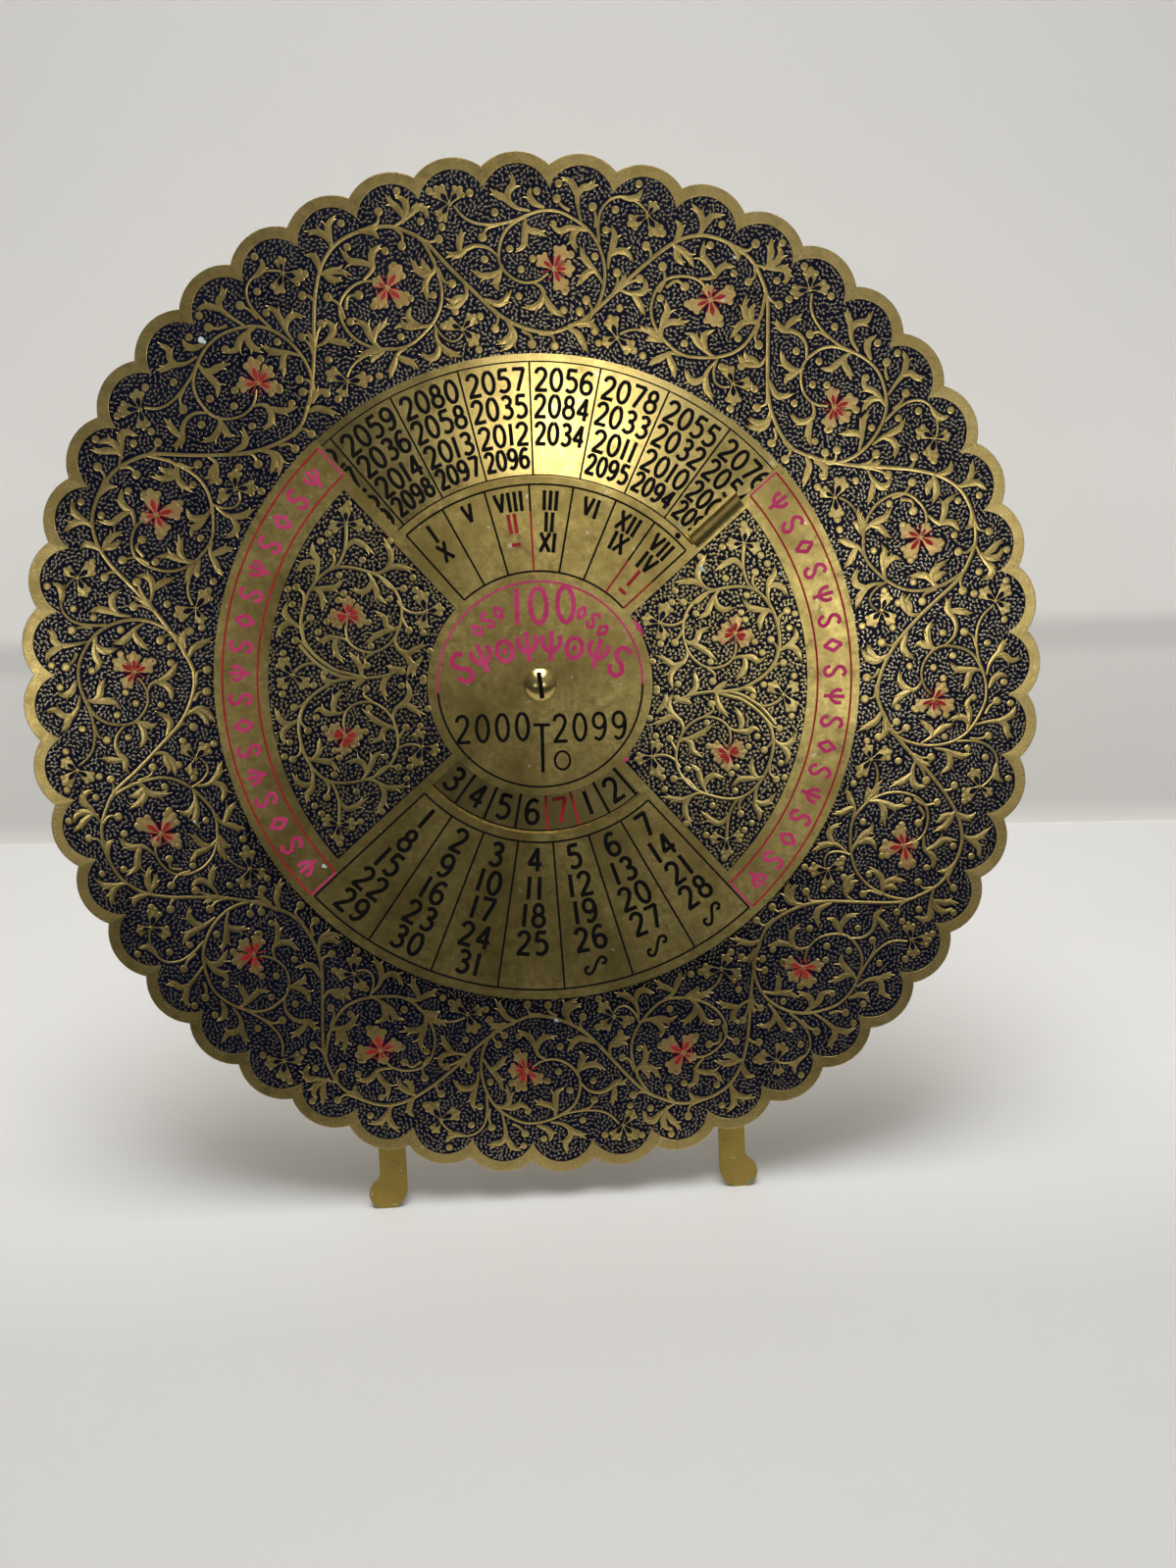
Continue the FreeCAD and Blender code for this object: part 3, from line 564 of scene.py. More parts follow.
def fill_ground(level, free, low, rng, lengths, widths):
    """Grains on every free cell."""
    spots = scatter(free, low, rng)
    spots += rng.normal(0, 0.03, spots.shape)
    count = len(spots)
    ground = Relief(level)
    ground.grains(spots, grain_turns(spots, rng), rng.uniform(*lengths, count), rng.uniform(*widths, count))
    return ground


def turn_discs(discs, angle):
    turn = math.radians(angle)
    cos, sin = math.cos(turn), math.sin(turn)
    return [(x * cos + y * sin, -x * sin + y * cos, radius) for x, y, radius in discs]


def make_border(brass, washed, grain_metal, enamel, red, slot):
    """The border's vines, leaves, flowers and grains, one repeat after another."""
    for k in range(repeats):
        middle = first_repeat + k * repeat_angle
        vines, painted, dark, bright = (Relief(plate_level) for _ in range(4))
        spines = [(smooth_line(places(pairs, middle)), start, end) for pairs, start, end in border_vines]
        draw_pattern((vines, dark, painted, bright), spines, border_leaves, border_hooks, border_dots,
                     border_flowers, red_flowers, border_sizes, (border_sheet, middle, -1))
        rng = np.random.default_rng(seed + k)
        discs = vines.discs + painted.discs
        near = [disc for step in (-repeat_angle, 0, repeat_angle) for disc in turn_discs(discs, step)]
        across_repeat = np.linspace(middle - 24, middle + 24, 13)[:, None]
        edge = polar(across_repeat, np.array([[disc_radius, plate_radius]])).reshape(-1, 2)
        low, high = edge.min(0) - 2, edge.max(0) + 2
        free = free_cells(low, high, border_allowed(middle), near, border_clearance)
        ground = fill_ground(plate_level, free, low, rng, *border_grain_sizes)
        for name, relief, material in (
            ("border_vines", vines, brass), ("border_grains", ground, grain_metal),
            ("flower_slits", dark, enamel), ("red_slits", bright, red), ("red_flowers", painted, washed),
        ):
            relief.piece(f"{name}_{k + 1}", material, "stand", slot, wobble)


def ring_piece(name, rings, angles, material):
    """A band whose section is a closed line of rings, each a radius at every angle and a height."""
    count = len(angles)
    points = np.concatenate([
        np.c_[polar(angles, np.broadcast_to(radius, (count,))), np.full(count, height)]
        for radius, height in rings
    ])
    faces = []
    for r in range(len(rings)):
        n = (r + 1) % len(rings)
        for a in range(count):
            b = (a + 1) % count
            faces.append((r * count + a, n * count + a, n * count + b, r * count + b))
    make_piece(name, row_points(points), faces, material, "stand")


def make_rim(brass, enamel, slot):
    """The plain band along the lobes, the small notch between each two of them drawn as a dark stroke of
    painted shade, and the border's enamel.
    """
    angles = np.arange(0, 360, 0.25)
    outer = lobe_line(angles, lobe_radius, plate_radius) - 0.02
    inner = lobe_line(angles, inner_lobe_radius, plate_radius - band_width)
    low, high = plate_level - root_depth, plate_level + relief_rise
    ring_piece("rim_band", [
        (outer, low), (outer, high), (outer - 0.15, high + 0.02), (inner + 0.1, high - 0.03),
        (inner, high - 0.05), (inner, low),
    ], angles, brass)
    rng = np.random.default_rng(seed + 70)
    # Dark strokes at the valleys between the lobes: painted shade standing for the small notch in each
    # valley.
    notch_shade = Relief(plate_level)
    for k in range(lobes):
        angle = (k + 0.5) * 360 / lobes
        deep = lobe_line(np.array([angle]), lobe_radius, plate_radius)[0] - 0.12
        end = polar(angle + rng.uniform(-0.2, 0.2), deep - rng.uniform(0.5, 1.5))
        spine = line(polar(angle, deep), end, 0.3)
        notch_shade.ribbon(spine, np.linspace(0.24, 0.05, len(spine)), relief_rise + 0.01, 0.004)
    notch_shade.piece("rim_notch_shade", enamel, "stand", slot)
    floor, under_cover = plate_level + enamel_rise, disc_radius - 2.0
    ring_piece("border_enamel", [
        (inner + 0.3, low), (inner + 0.3, floor), (under_cover, floor), (under_cover, low),
    ], angles, enamel)


# The cover's two floral sectors, each drawn as two mirrored halves on a sheet with 22 squares to the
# millimetre. Its point (604, 0) lies 67.5 mm out, 20 degrees from the middle, and x grows towards the middle.
sector_middle = 95.2
sector_edges = (50.1, 139.5)
sector_strip = 2.3
sector_outer, sector_inner = 66.8, 27.9
sector_sheet = (22, 67.5, 604, 20.0)
sector_sizes = (1.6, 0.95, 0.86, (0.60, 0.15), (0.60, 0.12))
sector_clearance = 0.54
sector_grain_sizes = (0.78, 1.04), (0.80, 1.02)
sheet_vines = [
    (read("""
        938,575 947,500 955,440 946,380 930,320 905,265 865,215 815,180 760,160 700,150 640,148 580,155
        520,175 470,205 435,250 412,310 402,370 397,430 402,490 425,550 460,600 505,635 555,655 610,664
        660,662 710,648 755,620 790,580 805,530 803,480 783,438 745,410 700,395 668,388
    """), 0.85, 0.6),
    (read("""
        465,210 435,235 380,245 320,240 262,222 212,203
    """), 0.65, 0.8),
    (read("""
        480,600 505,640 512,690 500,730 482,760
    """), 0.55, 0.8),
]
sheet_trunk = [
    (read("""
        918,822 908,770 903,720 906,680 916,620 930,565 948,510 985,450 1035,400 1080,365 1140,335
        1200,312
    """), 0.7, 0.85),
    (read("""
        1072,372 1088,330 1084,275 1068,238
    """), 0.65, 0.85),
]
sheet_leaves = read_groups("""
    560,157 510,155 470,140 / 475,145 440,125 415,90 365,70 / 468,140 468,100 492,68 556,48;
    612,152 585,180 / 588,175 568,225 540,272 478,296 / 590,178 606,212 640,238 692,252;
    822,182 808,142 / 812,150 795,98 765,66 712,62 / 808,142 822,100 858,82 922,76;
    785,440 783,400 793,370 / 790,385 805,335 838,305 828,262 / 792,375 835,380 875,412 906,462;
    405,400 420,425 445,442 / 435,435 480,435 512,408 520,342 / 425,435 470,475 505,505 520,565;
    398,415 380,458 345,488 / 352,482 300,492 255,470 192,405 / 355,482 318,520 305,565 290,635;
    350,243 312,250 / 318,247 275,275 278,330 302,405;
    600,665 628,645 / 632,648 628,600 592,570 578,498 / 628,642 660,600 700,565 775,518;
    640,663 690,672 722,705 / 718,695 722,755 680,790 632,845 / 720,700 745,770 790,800 848,797
""")
trunk_leaves = read_groups("""
    905,740 895,712 / 900,728 878,682 838,664 772,660;
    922,595 910,560 / 918,585 908,545 890,500;
    922,595 945,572 / 940,578 990,585 1040,572 1092,548;
    950,450 960,410 / 955,425 972,388 1012,365;
    908,800 914,785 / 912,795 925,752 955,720;
    945,925 925,900 / 930,905 900,862 850,835
""")
sheet_hooks = read_lines("""
    690,150 640,125 622,78 / 468,208 415,215 370,186 / 905,262 885,215 888,176 / 868,215 805,185 746,206 /
    400,470 432,545 408,608 / 555,655 580,685 604,716 / 790,585 840,556 868,578
""")
sheet_dots = read("""
    345,108 293,130 105,172 187,318 475,265 352,350 203,447 335,632 487,560 763,560 730,295 555,322
    800,272 715,92 648,500 825,765 665,862 587,793 390,668 830,890 650,40 700,330 600,310
""")
trunk_dots = read("""
    975,140 1183,215 970,315 1015,390
""")
sheet_flowers = read_groups("""
    205,200 / 118,160 262,125 182,292;
    475,765 / 388,692 425,848 572,772
""")
trunk_flower = read_lines("1055,225 / 1020,133 1160,188 973,287")
sheet_red_flower = read_lines("655,385 / 562,350 700,293 655,490 588,442 738,335")


def sector_limits(radius, strip=sector_strip):
    inset = np.degrees(strip / radius)
    return sector_edges[0] + inset, sector_edges[1] - inset


def sector_allowed(side):
    def allowed(x, y):
        angle = (np.degrees(np.arctan2(x, y)) - side) % 360
        radius = np.maximum(np.hypot(x, y), 1.0)
        first, last = sector_limits(radius, sector_strip + 0.45)
        inside = (angle > first) & (angle < last)
        return inside & (radius > sector_inner + 0.4) & (radius < sector_outer - 0.4)
    return allowed


def add_slab(relief, outline, rise):
    """A flat-topped slab with a given outline."""
    count = len(outline)
    low, high = relief.level - root_depth, relief.level + rise
    points = np.r_[np.c_[outline, np.full(count, low)], np.c_[outline, np.full(count, high)]]
    faces = [tuple(range(count - 1, -1, -1)), tuple(range(count, 2 * count))]
    faces += [(k, (k + 1) % count, count + (k + 1) % count, count + k) for k in range(count)]
    relief.add_block(points, faces)


def draw_half(reliefs, middle, hand, with_trunk):
    """Half of a sector's pattern; the trunk in its middle is drawn with only one of the halves."""
    where = (sector_sheet, middle, hand)
    parts = [sheet_vines, sheet_leaves, sheet_dots, sheet_flowers]
    if with_trunk:
        trunk = [sheet_trunk, trunk_leaves, trunk_dots, [trunk_flower]]
        parts = [own + more for own, more in zip(parts, trunk)]
    drawn, leaves, dots, flowers = parts
    spines = [(smooth_line(on_sheet(points, *where), 0.8), start, end) for points, start, end in drawn]
    draw_pattern(reliefs, spines, leaves, sheet_hooks, dots, flowers, [sheet_red_flower], sector_sizes, where)


def make_sectors(brass, washed, grain_metal, enamel, red, slot):
    """The pattern of the right sector, and the same turned by half a turn on the left."""
    for hand, side in (("right", 0), ("left", 180)):
        middle = sector_middle + side
        vines, painted, dark, bright, floor = (Relief(cover_level) for _ in range(5))
        outer = sector_limits(sector_outer)
        inner = sector_limits(sector_inner)
        outline = np.r_[arc_line(sector_outer, outer[0] + side, outer[1] + side),
                        arc_line(sector_inner, inner[1] + side, inner[0] + side)]
        add_slab(floor, outline[::-1], enamel_rise)
        for half, with_trunk in ((-1, True), (1, False)):
            draw_half((vines, dark, painted, bright), middle, half, with_trunk)
        low, high = outline.min(0) - 1, outline.max(0) + 1
        rng = np.random.default_rng(seed + 50 + side)
        free = free_cells(low, high, sector_allowed(side), vines.discs + painted.discs,
                          sector_clearance)
        ground = fill_ground(cover_level, free, low, rng, *sector_grain_sizes)
        for name, relief, material in (
            ("enamel", floor, enamel), ("vines", vines, brass), ("grains", ground, grain_metal),
            ("slits", dark, enamel), ("red_slits", bright, red), ("red_flowers", painted, washed),
        ):
            relief.piece(f"sector_{name}_{hand}", material, "stand", slot)


# Numerals: strokes in a cell one unit high, then how far the next numeral is.

def bow(cx, cy, rx, ry, start, end, count=15):
    turn = np.radians(np.linspace(start, end, count))
    return np.c_[cx + rx * np.cos(turn), cy + ry * np.sin(turn)]


def curve(text):
    return smooth_line(read(text), 0.07)


def bars(text):
    return np.array(read(text))


six_points = read("""
    0.52,0.9 0.35,1 0.17,0.88 0.07,0.62 0.06,0.32 0.14,0.08 0.31,0 0.48,0.08 0.55,0.29 0.48,0.5 0.31,0.57
    0.14,0.5 0.07,0.33
""")
numerals = {
    "0": ([bow(0.31, 0.5, 0.25, 0.5, 90, 450, 25)], 0.62),
    "1": ([bars("0.13,0 0.15,1")], 0.28),
    "2": ([curve("0.06,0.76 0.12,0.92 0.29,1 0.46,0.92 0.52,0.74 0.43,0.5 0.22,0.22 0.06,0"),
           bars("0.03,0 0.57,0")], 0.60),
    "3": ([curve("0.08,0.88 0.27,1 0.45,0.92 0.5,0.75 0.4,0.59 0.22,0.54"),
           curve("0.22,0.54 0.43,0.48 0.54,0.3 0.47,0.09 0.27,0 0.06,0.1")], 0.60),
    "4": ([bars("0.42,0 0.42,1 0.05,0.3"), bars("0.03,0.3 0.58,0.3")], 0.62),
    "5": ([bars("0.5,1 0.13,1 0.1,0.58"),
           curve("0.1,0.58 0.28,0.64 0.47,0.54 0.54,0.32 0.46,0.09 0.26,0 0.06,0.09")], 0.60),
    "6": ([smooth_line(six_points, 0.07)], 0.60),
    "7": ([bars("0.03,1 0.55,1 0.22,0")], 0.57),
    "8": ([bow(0.30, 0.76, 0.19, 0.24, -90, 270, 21), bow(0.30, 0.27, 0.25, 0.27, 90, 450, 21)], 0.60),
    "9": ([smooth_line([(0.60 - x, 1.0 - y) for x, y in six_points], 0.07)], 0.62),
    "I": ([bars("0.13,0 0.13,1"), bars("0.04,0 0.22,0"), bars("0.04,1 0.22,1")], 0.27),
    "V": ([bars("0.06,1 0.32,0 0.58,1"), bars("0,1 0.16,1"), bars("0.5,1 0.66,1")], 0.66),
    "X": ([bars("0.06,1 0.56,0"), bars("0.56,1 0.06,0"), bars("0,1 0.16,1"), bars("0.48,0 0.64,0"),
           bars("0,0 0.14,0"), bars("0.5,1 0.64,1")], 0.64),
    "-": ([bars("0.05,0.45 0.55,0.45")], 0.6),
    "~": ([curve("0.3,0.44 0.11,0.47 0,0.26 0.1,0.05 0.34,0.02 0.62,0.3 0.88,0.72 1.14,0.98 1.4,0.92 "
                 "1.47,0.7 1.32,0.54 1.16,0.6")], 1.48),
    "scroll": ([curve("0.1,0.3 0.2,0.08 0.42,0.02 0.56,0.18 0.48,0.4 0.28,0.54 0.14,0.72 0.22,0.93 0.44,1 "
                      "0.58,0.86")], 0.66),
    "trefoil": ([curve("0.35,0 0.35,0.45 0.35,1"), curve("0.35,0.3 0.16,0.42 0.04,0.66 0.08,0.86"),
                 curve("0.35,0.3 0.54,0.42 0.66,0.66 0.62,0.86")], 0.70),
    "ring": ([bow(0.30, 0.5, 0.26, 0.34, 90, 450, 21), bars("0.3,0.42 0.3,0.58")], 0.60),
    "lozenge": ([bars("0.3,0.92 0.56,0.5 0.3,0.08 0.04,0.5 0.3,0.92")], 0.60),
}
numeral_gap = 0.12


def rule(relief, spine, width):
    """A line of ink."""
    relief.ribbon(spine, width / 2, ink_rise, ink_crown)


def arcs(relief, radii, start, end, width, step=1.5):
    """Lines of ink round the middle."""
    for radius in radii:
        rule(relief, arc_line(radius, start, end, step), width)


def spoke(relief, angle, low, high, width, step):
    """A line of ink that runs away from the middle."""
    rule(relief, line(polar(angle, low), polar(angle, high), step), width)


def split_corners(spine):
    """A line with sharp corners becomes straight bars that overlap at the corners."""
    if len(spine) > 6:
        return [spine]
    parts = []
    for a, b in zip(spine, spine[1:]):
        ahead = (b - a) / max(np.linalg.norm(b - a), 1e-9) * 0.12
        parts.append(np.array([a - ahead, b + ahead]))
    return parts


def write(relief, signs, angle, radius, height, stroke, outward=True, space=1.0, room=None, centre=(0, 0)):
    """Numerals along an arc. Their tops point outward or to the middle, and they narrow to fit a room."""
    gap = numeral_gap * space
    total = sum(numerals[sign][1] for sign in signs) + gap * (len(signs) - 1)
    narrow = min(1.0, room / (total * height)) if room else 1.0
    start = -total / 2
    way = 1 if outward else -1
    for sign in signs:
        strokes, width = numerals[sign]
        turn = np.radians(angle + way * np.degrees((start + width / 2) * height * narrow / radius))
        up = np.array([math.sin(turn), math.cos(turn)]) * way
        right = np.array([up[1], -up[0]])
        for points in strokes:
            x, y = (points[:, :1] - width / 2) * narrow, points[:, 1:] - 0.5
            spine = centre + up * way * radius + (x * right + y * up) * height
            for part in split_corners(spine):
                rule(relief, part, stroke)
        start += width + gap


def write_level(relief, signs, x, y, height, stroke, narrow):
    """Numerals on a level line, starting at x."""
    for sign in signs:
        strokes, width = numerals[sign]
        for points in strokes:
            spine = np.c_[x + points[:, 0] * height * narrow, y + points[:, 1] * height]
            for part in split_corners(spine):
                rule(relief, part, stroke)
        x += (width + numeral_gap * 1.8) * height * narrow


# The year disc: 28 columns of years at its rim, and 28 weekday cells further in.
columns = 28
column_angle = 360 / columns
first_line = 0.8
year_rows = [73.9, 67.6, 61.1, 55.3]
year_heights = [5.1, 5.1, 5.0, 4.5]
year_stroke = 0.94
year_top, year_bottom = 78.1, 51.2
weekday_radius, weekday_height = 31.9, 6.0
weekday_top, weekday_bottom = 36.6, 27.0
weekday_line = 141.5
seen_years = {
    -4: (2082, 2037, 2015, 2099), -3: (2059, 2036, 2014, 2098), -2: (2080, 2058, 2013, 2097),
    -1: (2057, 2035, 2012, 2096), 0: (2056, 2084, 2034), 1: (2078, 2033, 2011, 2095),
    2: (2055, 2032, 2010, 2094), 3: (2076, 2054, 2009, 2093),
}


def weekday_class(year):
    """Years of one class start on the same weekday of March."""
    return (3 + (year - 2000) + (year - 2000) // 4) % 7


def year_columns():
    """The years in each column: those that the notch shows, and the rest dealt out by class."""
    table = dict(seen_years)
    used = {year for years in seen_years.values() for year in years}
    for kind in range(7):
        rest = [year for year in range(2099, 1999, -1) if weekday_class(year) == kind and year not in used]
        own = [c for c in range(-4, columns - 4) if (3 - c) % 7 == kind and c not in seen_years]
        for k, column in enumerate(own):
            table[column] = tuple(rest[k::len(own)])
    return table


def make_year_marks(black, red, slot):
    marks, ring, sundays = (Relief(year_level) for _ in range(3))
    arcs(marks, (year_top, year_bottom), 0, 360, 0.34, 1.0)
    for column, years in year_columns().items():
        edge = first_line + column * column_angle
        spoke(marks, edge, year_bottom, year_top, 0.46, 6)
        for year, radius, height in zip(years, year_rows, year_heights):
            room = math.radians(column_angle) * radius - 1.7
            write(marks, str(year), edge + column_angle / 2, radius, height, year_stroke, room=room)
    arcs(ring, (weekday_top, weekday_bottom), 0, 360, 0.34, 1.0)
    for cell in range(columns):
        edge = weekday_line + cell * column_angle
        day = (1 - cell) % 7 + 1
        signs = sundays if day == 7 else ring
        lines = sundays if day in (7, 6) else ring
        spoke(lines, edge, weekday_bottom, weekday_top, 0.70, 4)
        write(signs, str(day), edge + column_angle / 2, weekday_radius, weekday_height, 1.0, outward=False)
    marks.piece("year_marks", black, "year_dial", slot)
    ring.piece("weekday_marks", black, "year_dial", slot)
    sundays.piece("sunday_marks", red, "year_dial", slot)


# The cover disc's tables. A star marks a month in red, and some lines between months are red up to a radius.
month_lines = [-39.2, -26.5, -13.5, -0.5, 12.3, 25.1, 37.9, 50.0]
month_rows = [45.0, 39.8, 34.9, 30.9]
month_height = 3.9
month_top = 48.8
title_ring, title_line = 27.9, 25.4
months = [
    ("I", "X"), ("V",), ("VIII", "*II", "*-"), ("III", "II", "XI"), ("VI",), ("XII", "IX"),
    ("VII", "IV", "*I", "*-"),
]
half_red_lines = {3: 42.4, 6: 37.4, 7: 37.4}
date_lines = [139.5, 152.2, 165.0, 178.2, 190.9, 203.8, 216.8, 229.7]
date_rows = [43.9, 51.2, 58.3, 65.4, 72.6]
date_height = 5.7
date_top, date_bottom = 39.5, 77.5
last_date = 31
thin_rule = 0.50
band_edges = [(50.7, 138.9), (230.3, 319.4)]
band_inner, band_outer, band_middle = 69.4, 77.9, 73.7
band_signs = ["trefoil", "scroll", "lozenge", "scroll"] * 4 + ["trefoil"]
title_signs = ["scroll", "trefoil", "ring", "trefoil", "trefoil", "ring", "trefoil", "scroll"]
title_step, title_radius, title_centre = 7.7, 43.0, (0.2, -33.4)
ink_spot = (45.4, 49.9)


def make_cover_marks(black, red, pink, slot):
    ink, blood, rose = (Relief(cover_level) for _ in range(3))
    arcs(ink, (month_top, title_ring), month_lines[0], month_lines[-1], thin_rule)
    for k, angle in enumerate(month_lines):
        split = half_red_lines.get(k, title_ring)
        spoke(ink, angle, split, month_top, thin_rule, 5)
        if k in half_red_lines:
            spoke(blood, angle, title_ring, split, thin_rule, 5)
    for k, names in enumerate(months):
        middle = (month_lines[k] + month_lines[k + 1]) / 2
        for name, radius in zip(names, month_rows):
            relief = blood if name[0] == "*" else ink
            write(relief, name.strip("*"), middle, radius, month_height, 0.90, space=0.9)
    arcs(ink, (date_top, date_bottom), date_lines[0], date_lines[-1], thin_rule)
    for angle in date_lines:
        spoke(ink, angle, date_top, date_bottom, thin_rule, 6)
    for column in range(7):
        middle = (date_lines[6 - column] + date_lines[7 - column]) / 2
        for row, radius in enumerate(date_rows):
            date = 1 + column + 7 * row
            if date <= last_date:
                write(ink, str(date), middle, radius, date_height, 1.04, outward=False, space=1.5)
            elif column > 3:
                write(ink, "~", middle, radius, date_height * 0.68, 0.80, outward=False)
    write_title(ink, rose)
    for first, last in band_edges:
        for edge in (first, last):
            spoke(rose, edge, band_inner, band_outer, thin_rule, 4)
        arcs(blood, (band_inner, band_outer), first, last, thin_rule)
        for k, sign in enumerate(band_signs):
            angle = first + (k + 0.9) * (last - first) / (len(band_signs) + 0.8)
            write(rose, [sign], angle, band_middle, 5.3, 0.95)
    ink.dome(polar(*ink_spot), 0.75, ink_rise, ink_crown)
    ink.piece("cover_ink", black, "stand", slot)
    blood.piece("cover_red_ink", red, "stand", slot)
    rose.piece("cover_pink_ink", pink, "stand", slot)


def write_title(ink, rose):
    """The round middle: the century in numerals, a pointer, and ornaments over the screw."""
    write_level(ink, "2000", -21.6, -13.4, 6.6, 0.85, 0.90)
    write_level(ink, "2099", 2.6, -14.2, 6.6, 0.85, 0.90)
    rule(ink, line((-2.2, -9.8), (1.9, -10.0)), 0.8)
    rule(ink, line((-0.1, -9.8), (-0.4, -21.8)), 0.9)
    rule(ink, bow(4.6, -19.0, 1.9, 2.3, 0, 360, 25), 0.6)
    write_level(rose, "100", -6.0, 15.2, 8.6, 1.2, 0.93)
    for k, sign in enumerate(title_signs):
        write(rose, [sign], (k - 3.5) * title_step, title_radius, 7.4, 1.2, centre=title_centre)
    for angle in (-37, 42):
        for k, sign in enumerate(("lozenge", "scroll", "lozenge")):
            write(rose, [sign], angle + (k - 1) * 9.5, 20.5, 3.9, 0.85)
    arcs(rose, (title_line,), -92, 92, thin_rule)
    arcs(ink, (title_line,), 92, 268, thin_rule)


# Small marks of use, and painted shade in the screw's slot. A spill is its first and last angle and its
# width, and a fleck its place and radius.
slot_depth, slot_reach, slot_tilt = 1.2, 3.3, math.radians(5)
paint_spills = [(57, 68, 0.9), (60, 65, 1.5), (132, 136, 0.8)]
plate_flecks = [(-77.1, 86.0, 0.75), (-0.2, -86.3, 0.45), (-88.0, -30.0, 0.3), (52.0, 101.0, 0.3)]
cover_flecks = [(41.0, 26.8, 0.65), (60.5, 24.8, 0.35), (-56.3, -42.6, 0.45)]
foot_flecks = [(49.0, -133.7, 0.40), (49.7, -133.1, 0.28), (48.3, -134.0, 0.22)]


def make_small_marks(dark, pale, pink, green):
    """Painted shade in the screw's slot, paint that ran over an edge, and small flecks."""
    # A dark slab at the floor of the screw's slot: painted shade for the slot's depth.
    slot_shade = Relief(plate_points("pivot_screw")[:, 2].max() - slot_depth)
    along = np.array([-math.sin(slot_tilt), math.cos(slot_tilt)])
    slot_shade.ribbon(line(-along * slot_reach, along * slot_reach), 0.52, 0.35, 0.02)
    slot_shade.piece("slot_painted_shade", dark, "stand", "fitting_brass")
    spill = Relief(cover_level)
    for start, end, width in paint_spills:
        spine = arc_line(sector_inner + 0.3, start, end, 0.5)
        halves = width / 2 * np.sin(np.linspace(0.15, 3.0, len(spine)))
        spill.ribbon(spine, halves, relief_rise + 0.02, 0.01)
    spill.piece("paint_spill", pink, "stand", "cover_brass")
    for name, level, flecks, slot in (("plate_flecks", plate_level, plate_flecks, "enamelled_plate"),
                                      ("cover_flecks", cover_level, cover_flecks, "cover_brass")):
        relief = Relief(level)
        for x, y, radius in flecks:
            relief.dome((x, y), radius, relief_rise + 0.03, 0.02, 9)
            relief.dome((x + radius, y - radius * 0.7), radius * 0.6, relief_rise + 0.03, 0.02, 7)
        relief.piece(name, pale, "stand", slot)
    crust = Relief(plate_points("right_leg")[:, 2].max())
    for x, y, radius in foot_flecks:
        crust.dome((x, y), radius, 0.05, 0.02, 9)
    crust.piece("foot_verdigris", green, "stand", "stand_brass")


# Materials.

class Nodes:
    """A tree of nodes, made and joined by short calls. In a name an underscore stands for a space."""

    def __init__(self, tree):
        self.tree = tree

    def set(self, socket, value):
        if isinstance(value, bpy.types.NodeSocket):
            self.tree.links.new(value, socket)
        else:
            socket.default_value = value

    def fill(self, node, **values):
        for name, value in values.items():
            self.set(node.inputs[name.replace("_", " ")], value)

    def add(self, kind, settings=None, **values):
        node = self.tree.nodes.new(kind)
        for name, value in (settings or {}).items():
            setattr(node, name, value)
        self.fill(node, **values)
        return node

    def noise(self, place, scale, detail=4.0, rough=0.6, stretch=None):
        if stretch:
            place = self.add("ShaderNodeMapping", Vector=place, Scale=stretch).outputs["Vector"]
        node = self.add("ShaderNodeTexNoise", Vector=place, Scale=scale, Detail=detail, Roughness=rough)
        return node.outputs["Fac"]

    def ramp(self, value, stops):
        node = self.add("ShaderNodeValToRGB", Fac=value)
        ramp = node.color_ramp
        while len(ramp.elements) < len(stops):
            ramp.elements.new(0.5)
        for element, (position, colour) in zip(ramp.elements, stops):
            element.position = position
            element.color = (*colour, 1.0)
        return node.outputs["Color"]

    def between(self, value, low, high, out_low=0.0, out_high=1.0):
        node = self.add("ShaderNodeMapRange", Value=value, From_Min=low, From_Max=high, To_Min=out_low,
                        To_Max=out_high)
        return node.outputs["Result"]

    def mix(self, share, first, second):
        node = self.add("ShaderNodeMix", {"data_type": "RGBA"})
        self.set(node.inputs[0], share)
        for socket, value in ((node.inputs[6], first), (node.inputs[7], second)):
            self.set(socket, value if isinstance(value, bpy.types.NodeSocket) else (*value, 1.0))
        return node.outputs[2]

    def bump(self, height, strength, distance, below=None):
        node = self.add("ShaderNodeBump", Height=height, Strength=strength, Distance=distance)
        if below is not None:
            self.set(node.inputs["Normal"], below)
        return node.outputs["Normal"]


class Shader(Nodes):
    """A material's nodes."""

    def __init__(self, name):
        self.material = bpy.data.materials.new(name)
        self.material.use_nodes = True
        super().__init__(self.material.node_tree)
        self.surface = self.tree.nodes["Principled BSDF"]
        self.place = self.add("ShaderNodeTexCoord").outputs["Object"]

    def plate_place(self):
        """Texture places in the plate's frame, in metres."""
        node = self.add("ShaderNodeMapping", {"vector_type": "TEXTURE"}, Vector=self.place, Location=pivot,
                        Rotation=(math.pi / 2 - lean, 0, 0))
        return node.outputs["Vector"]


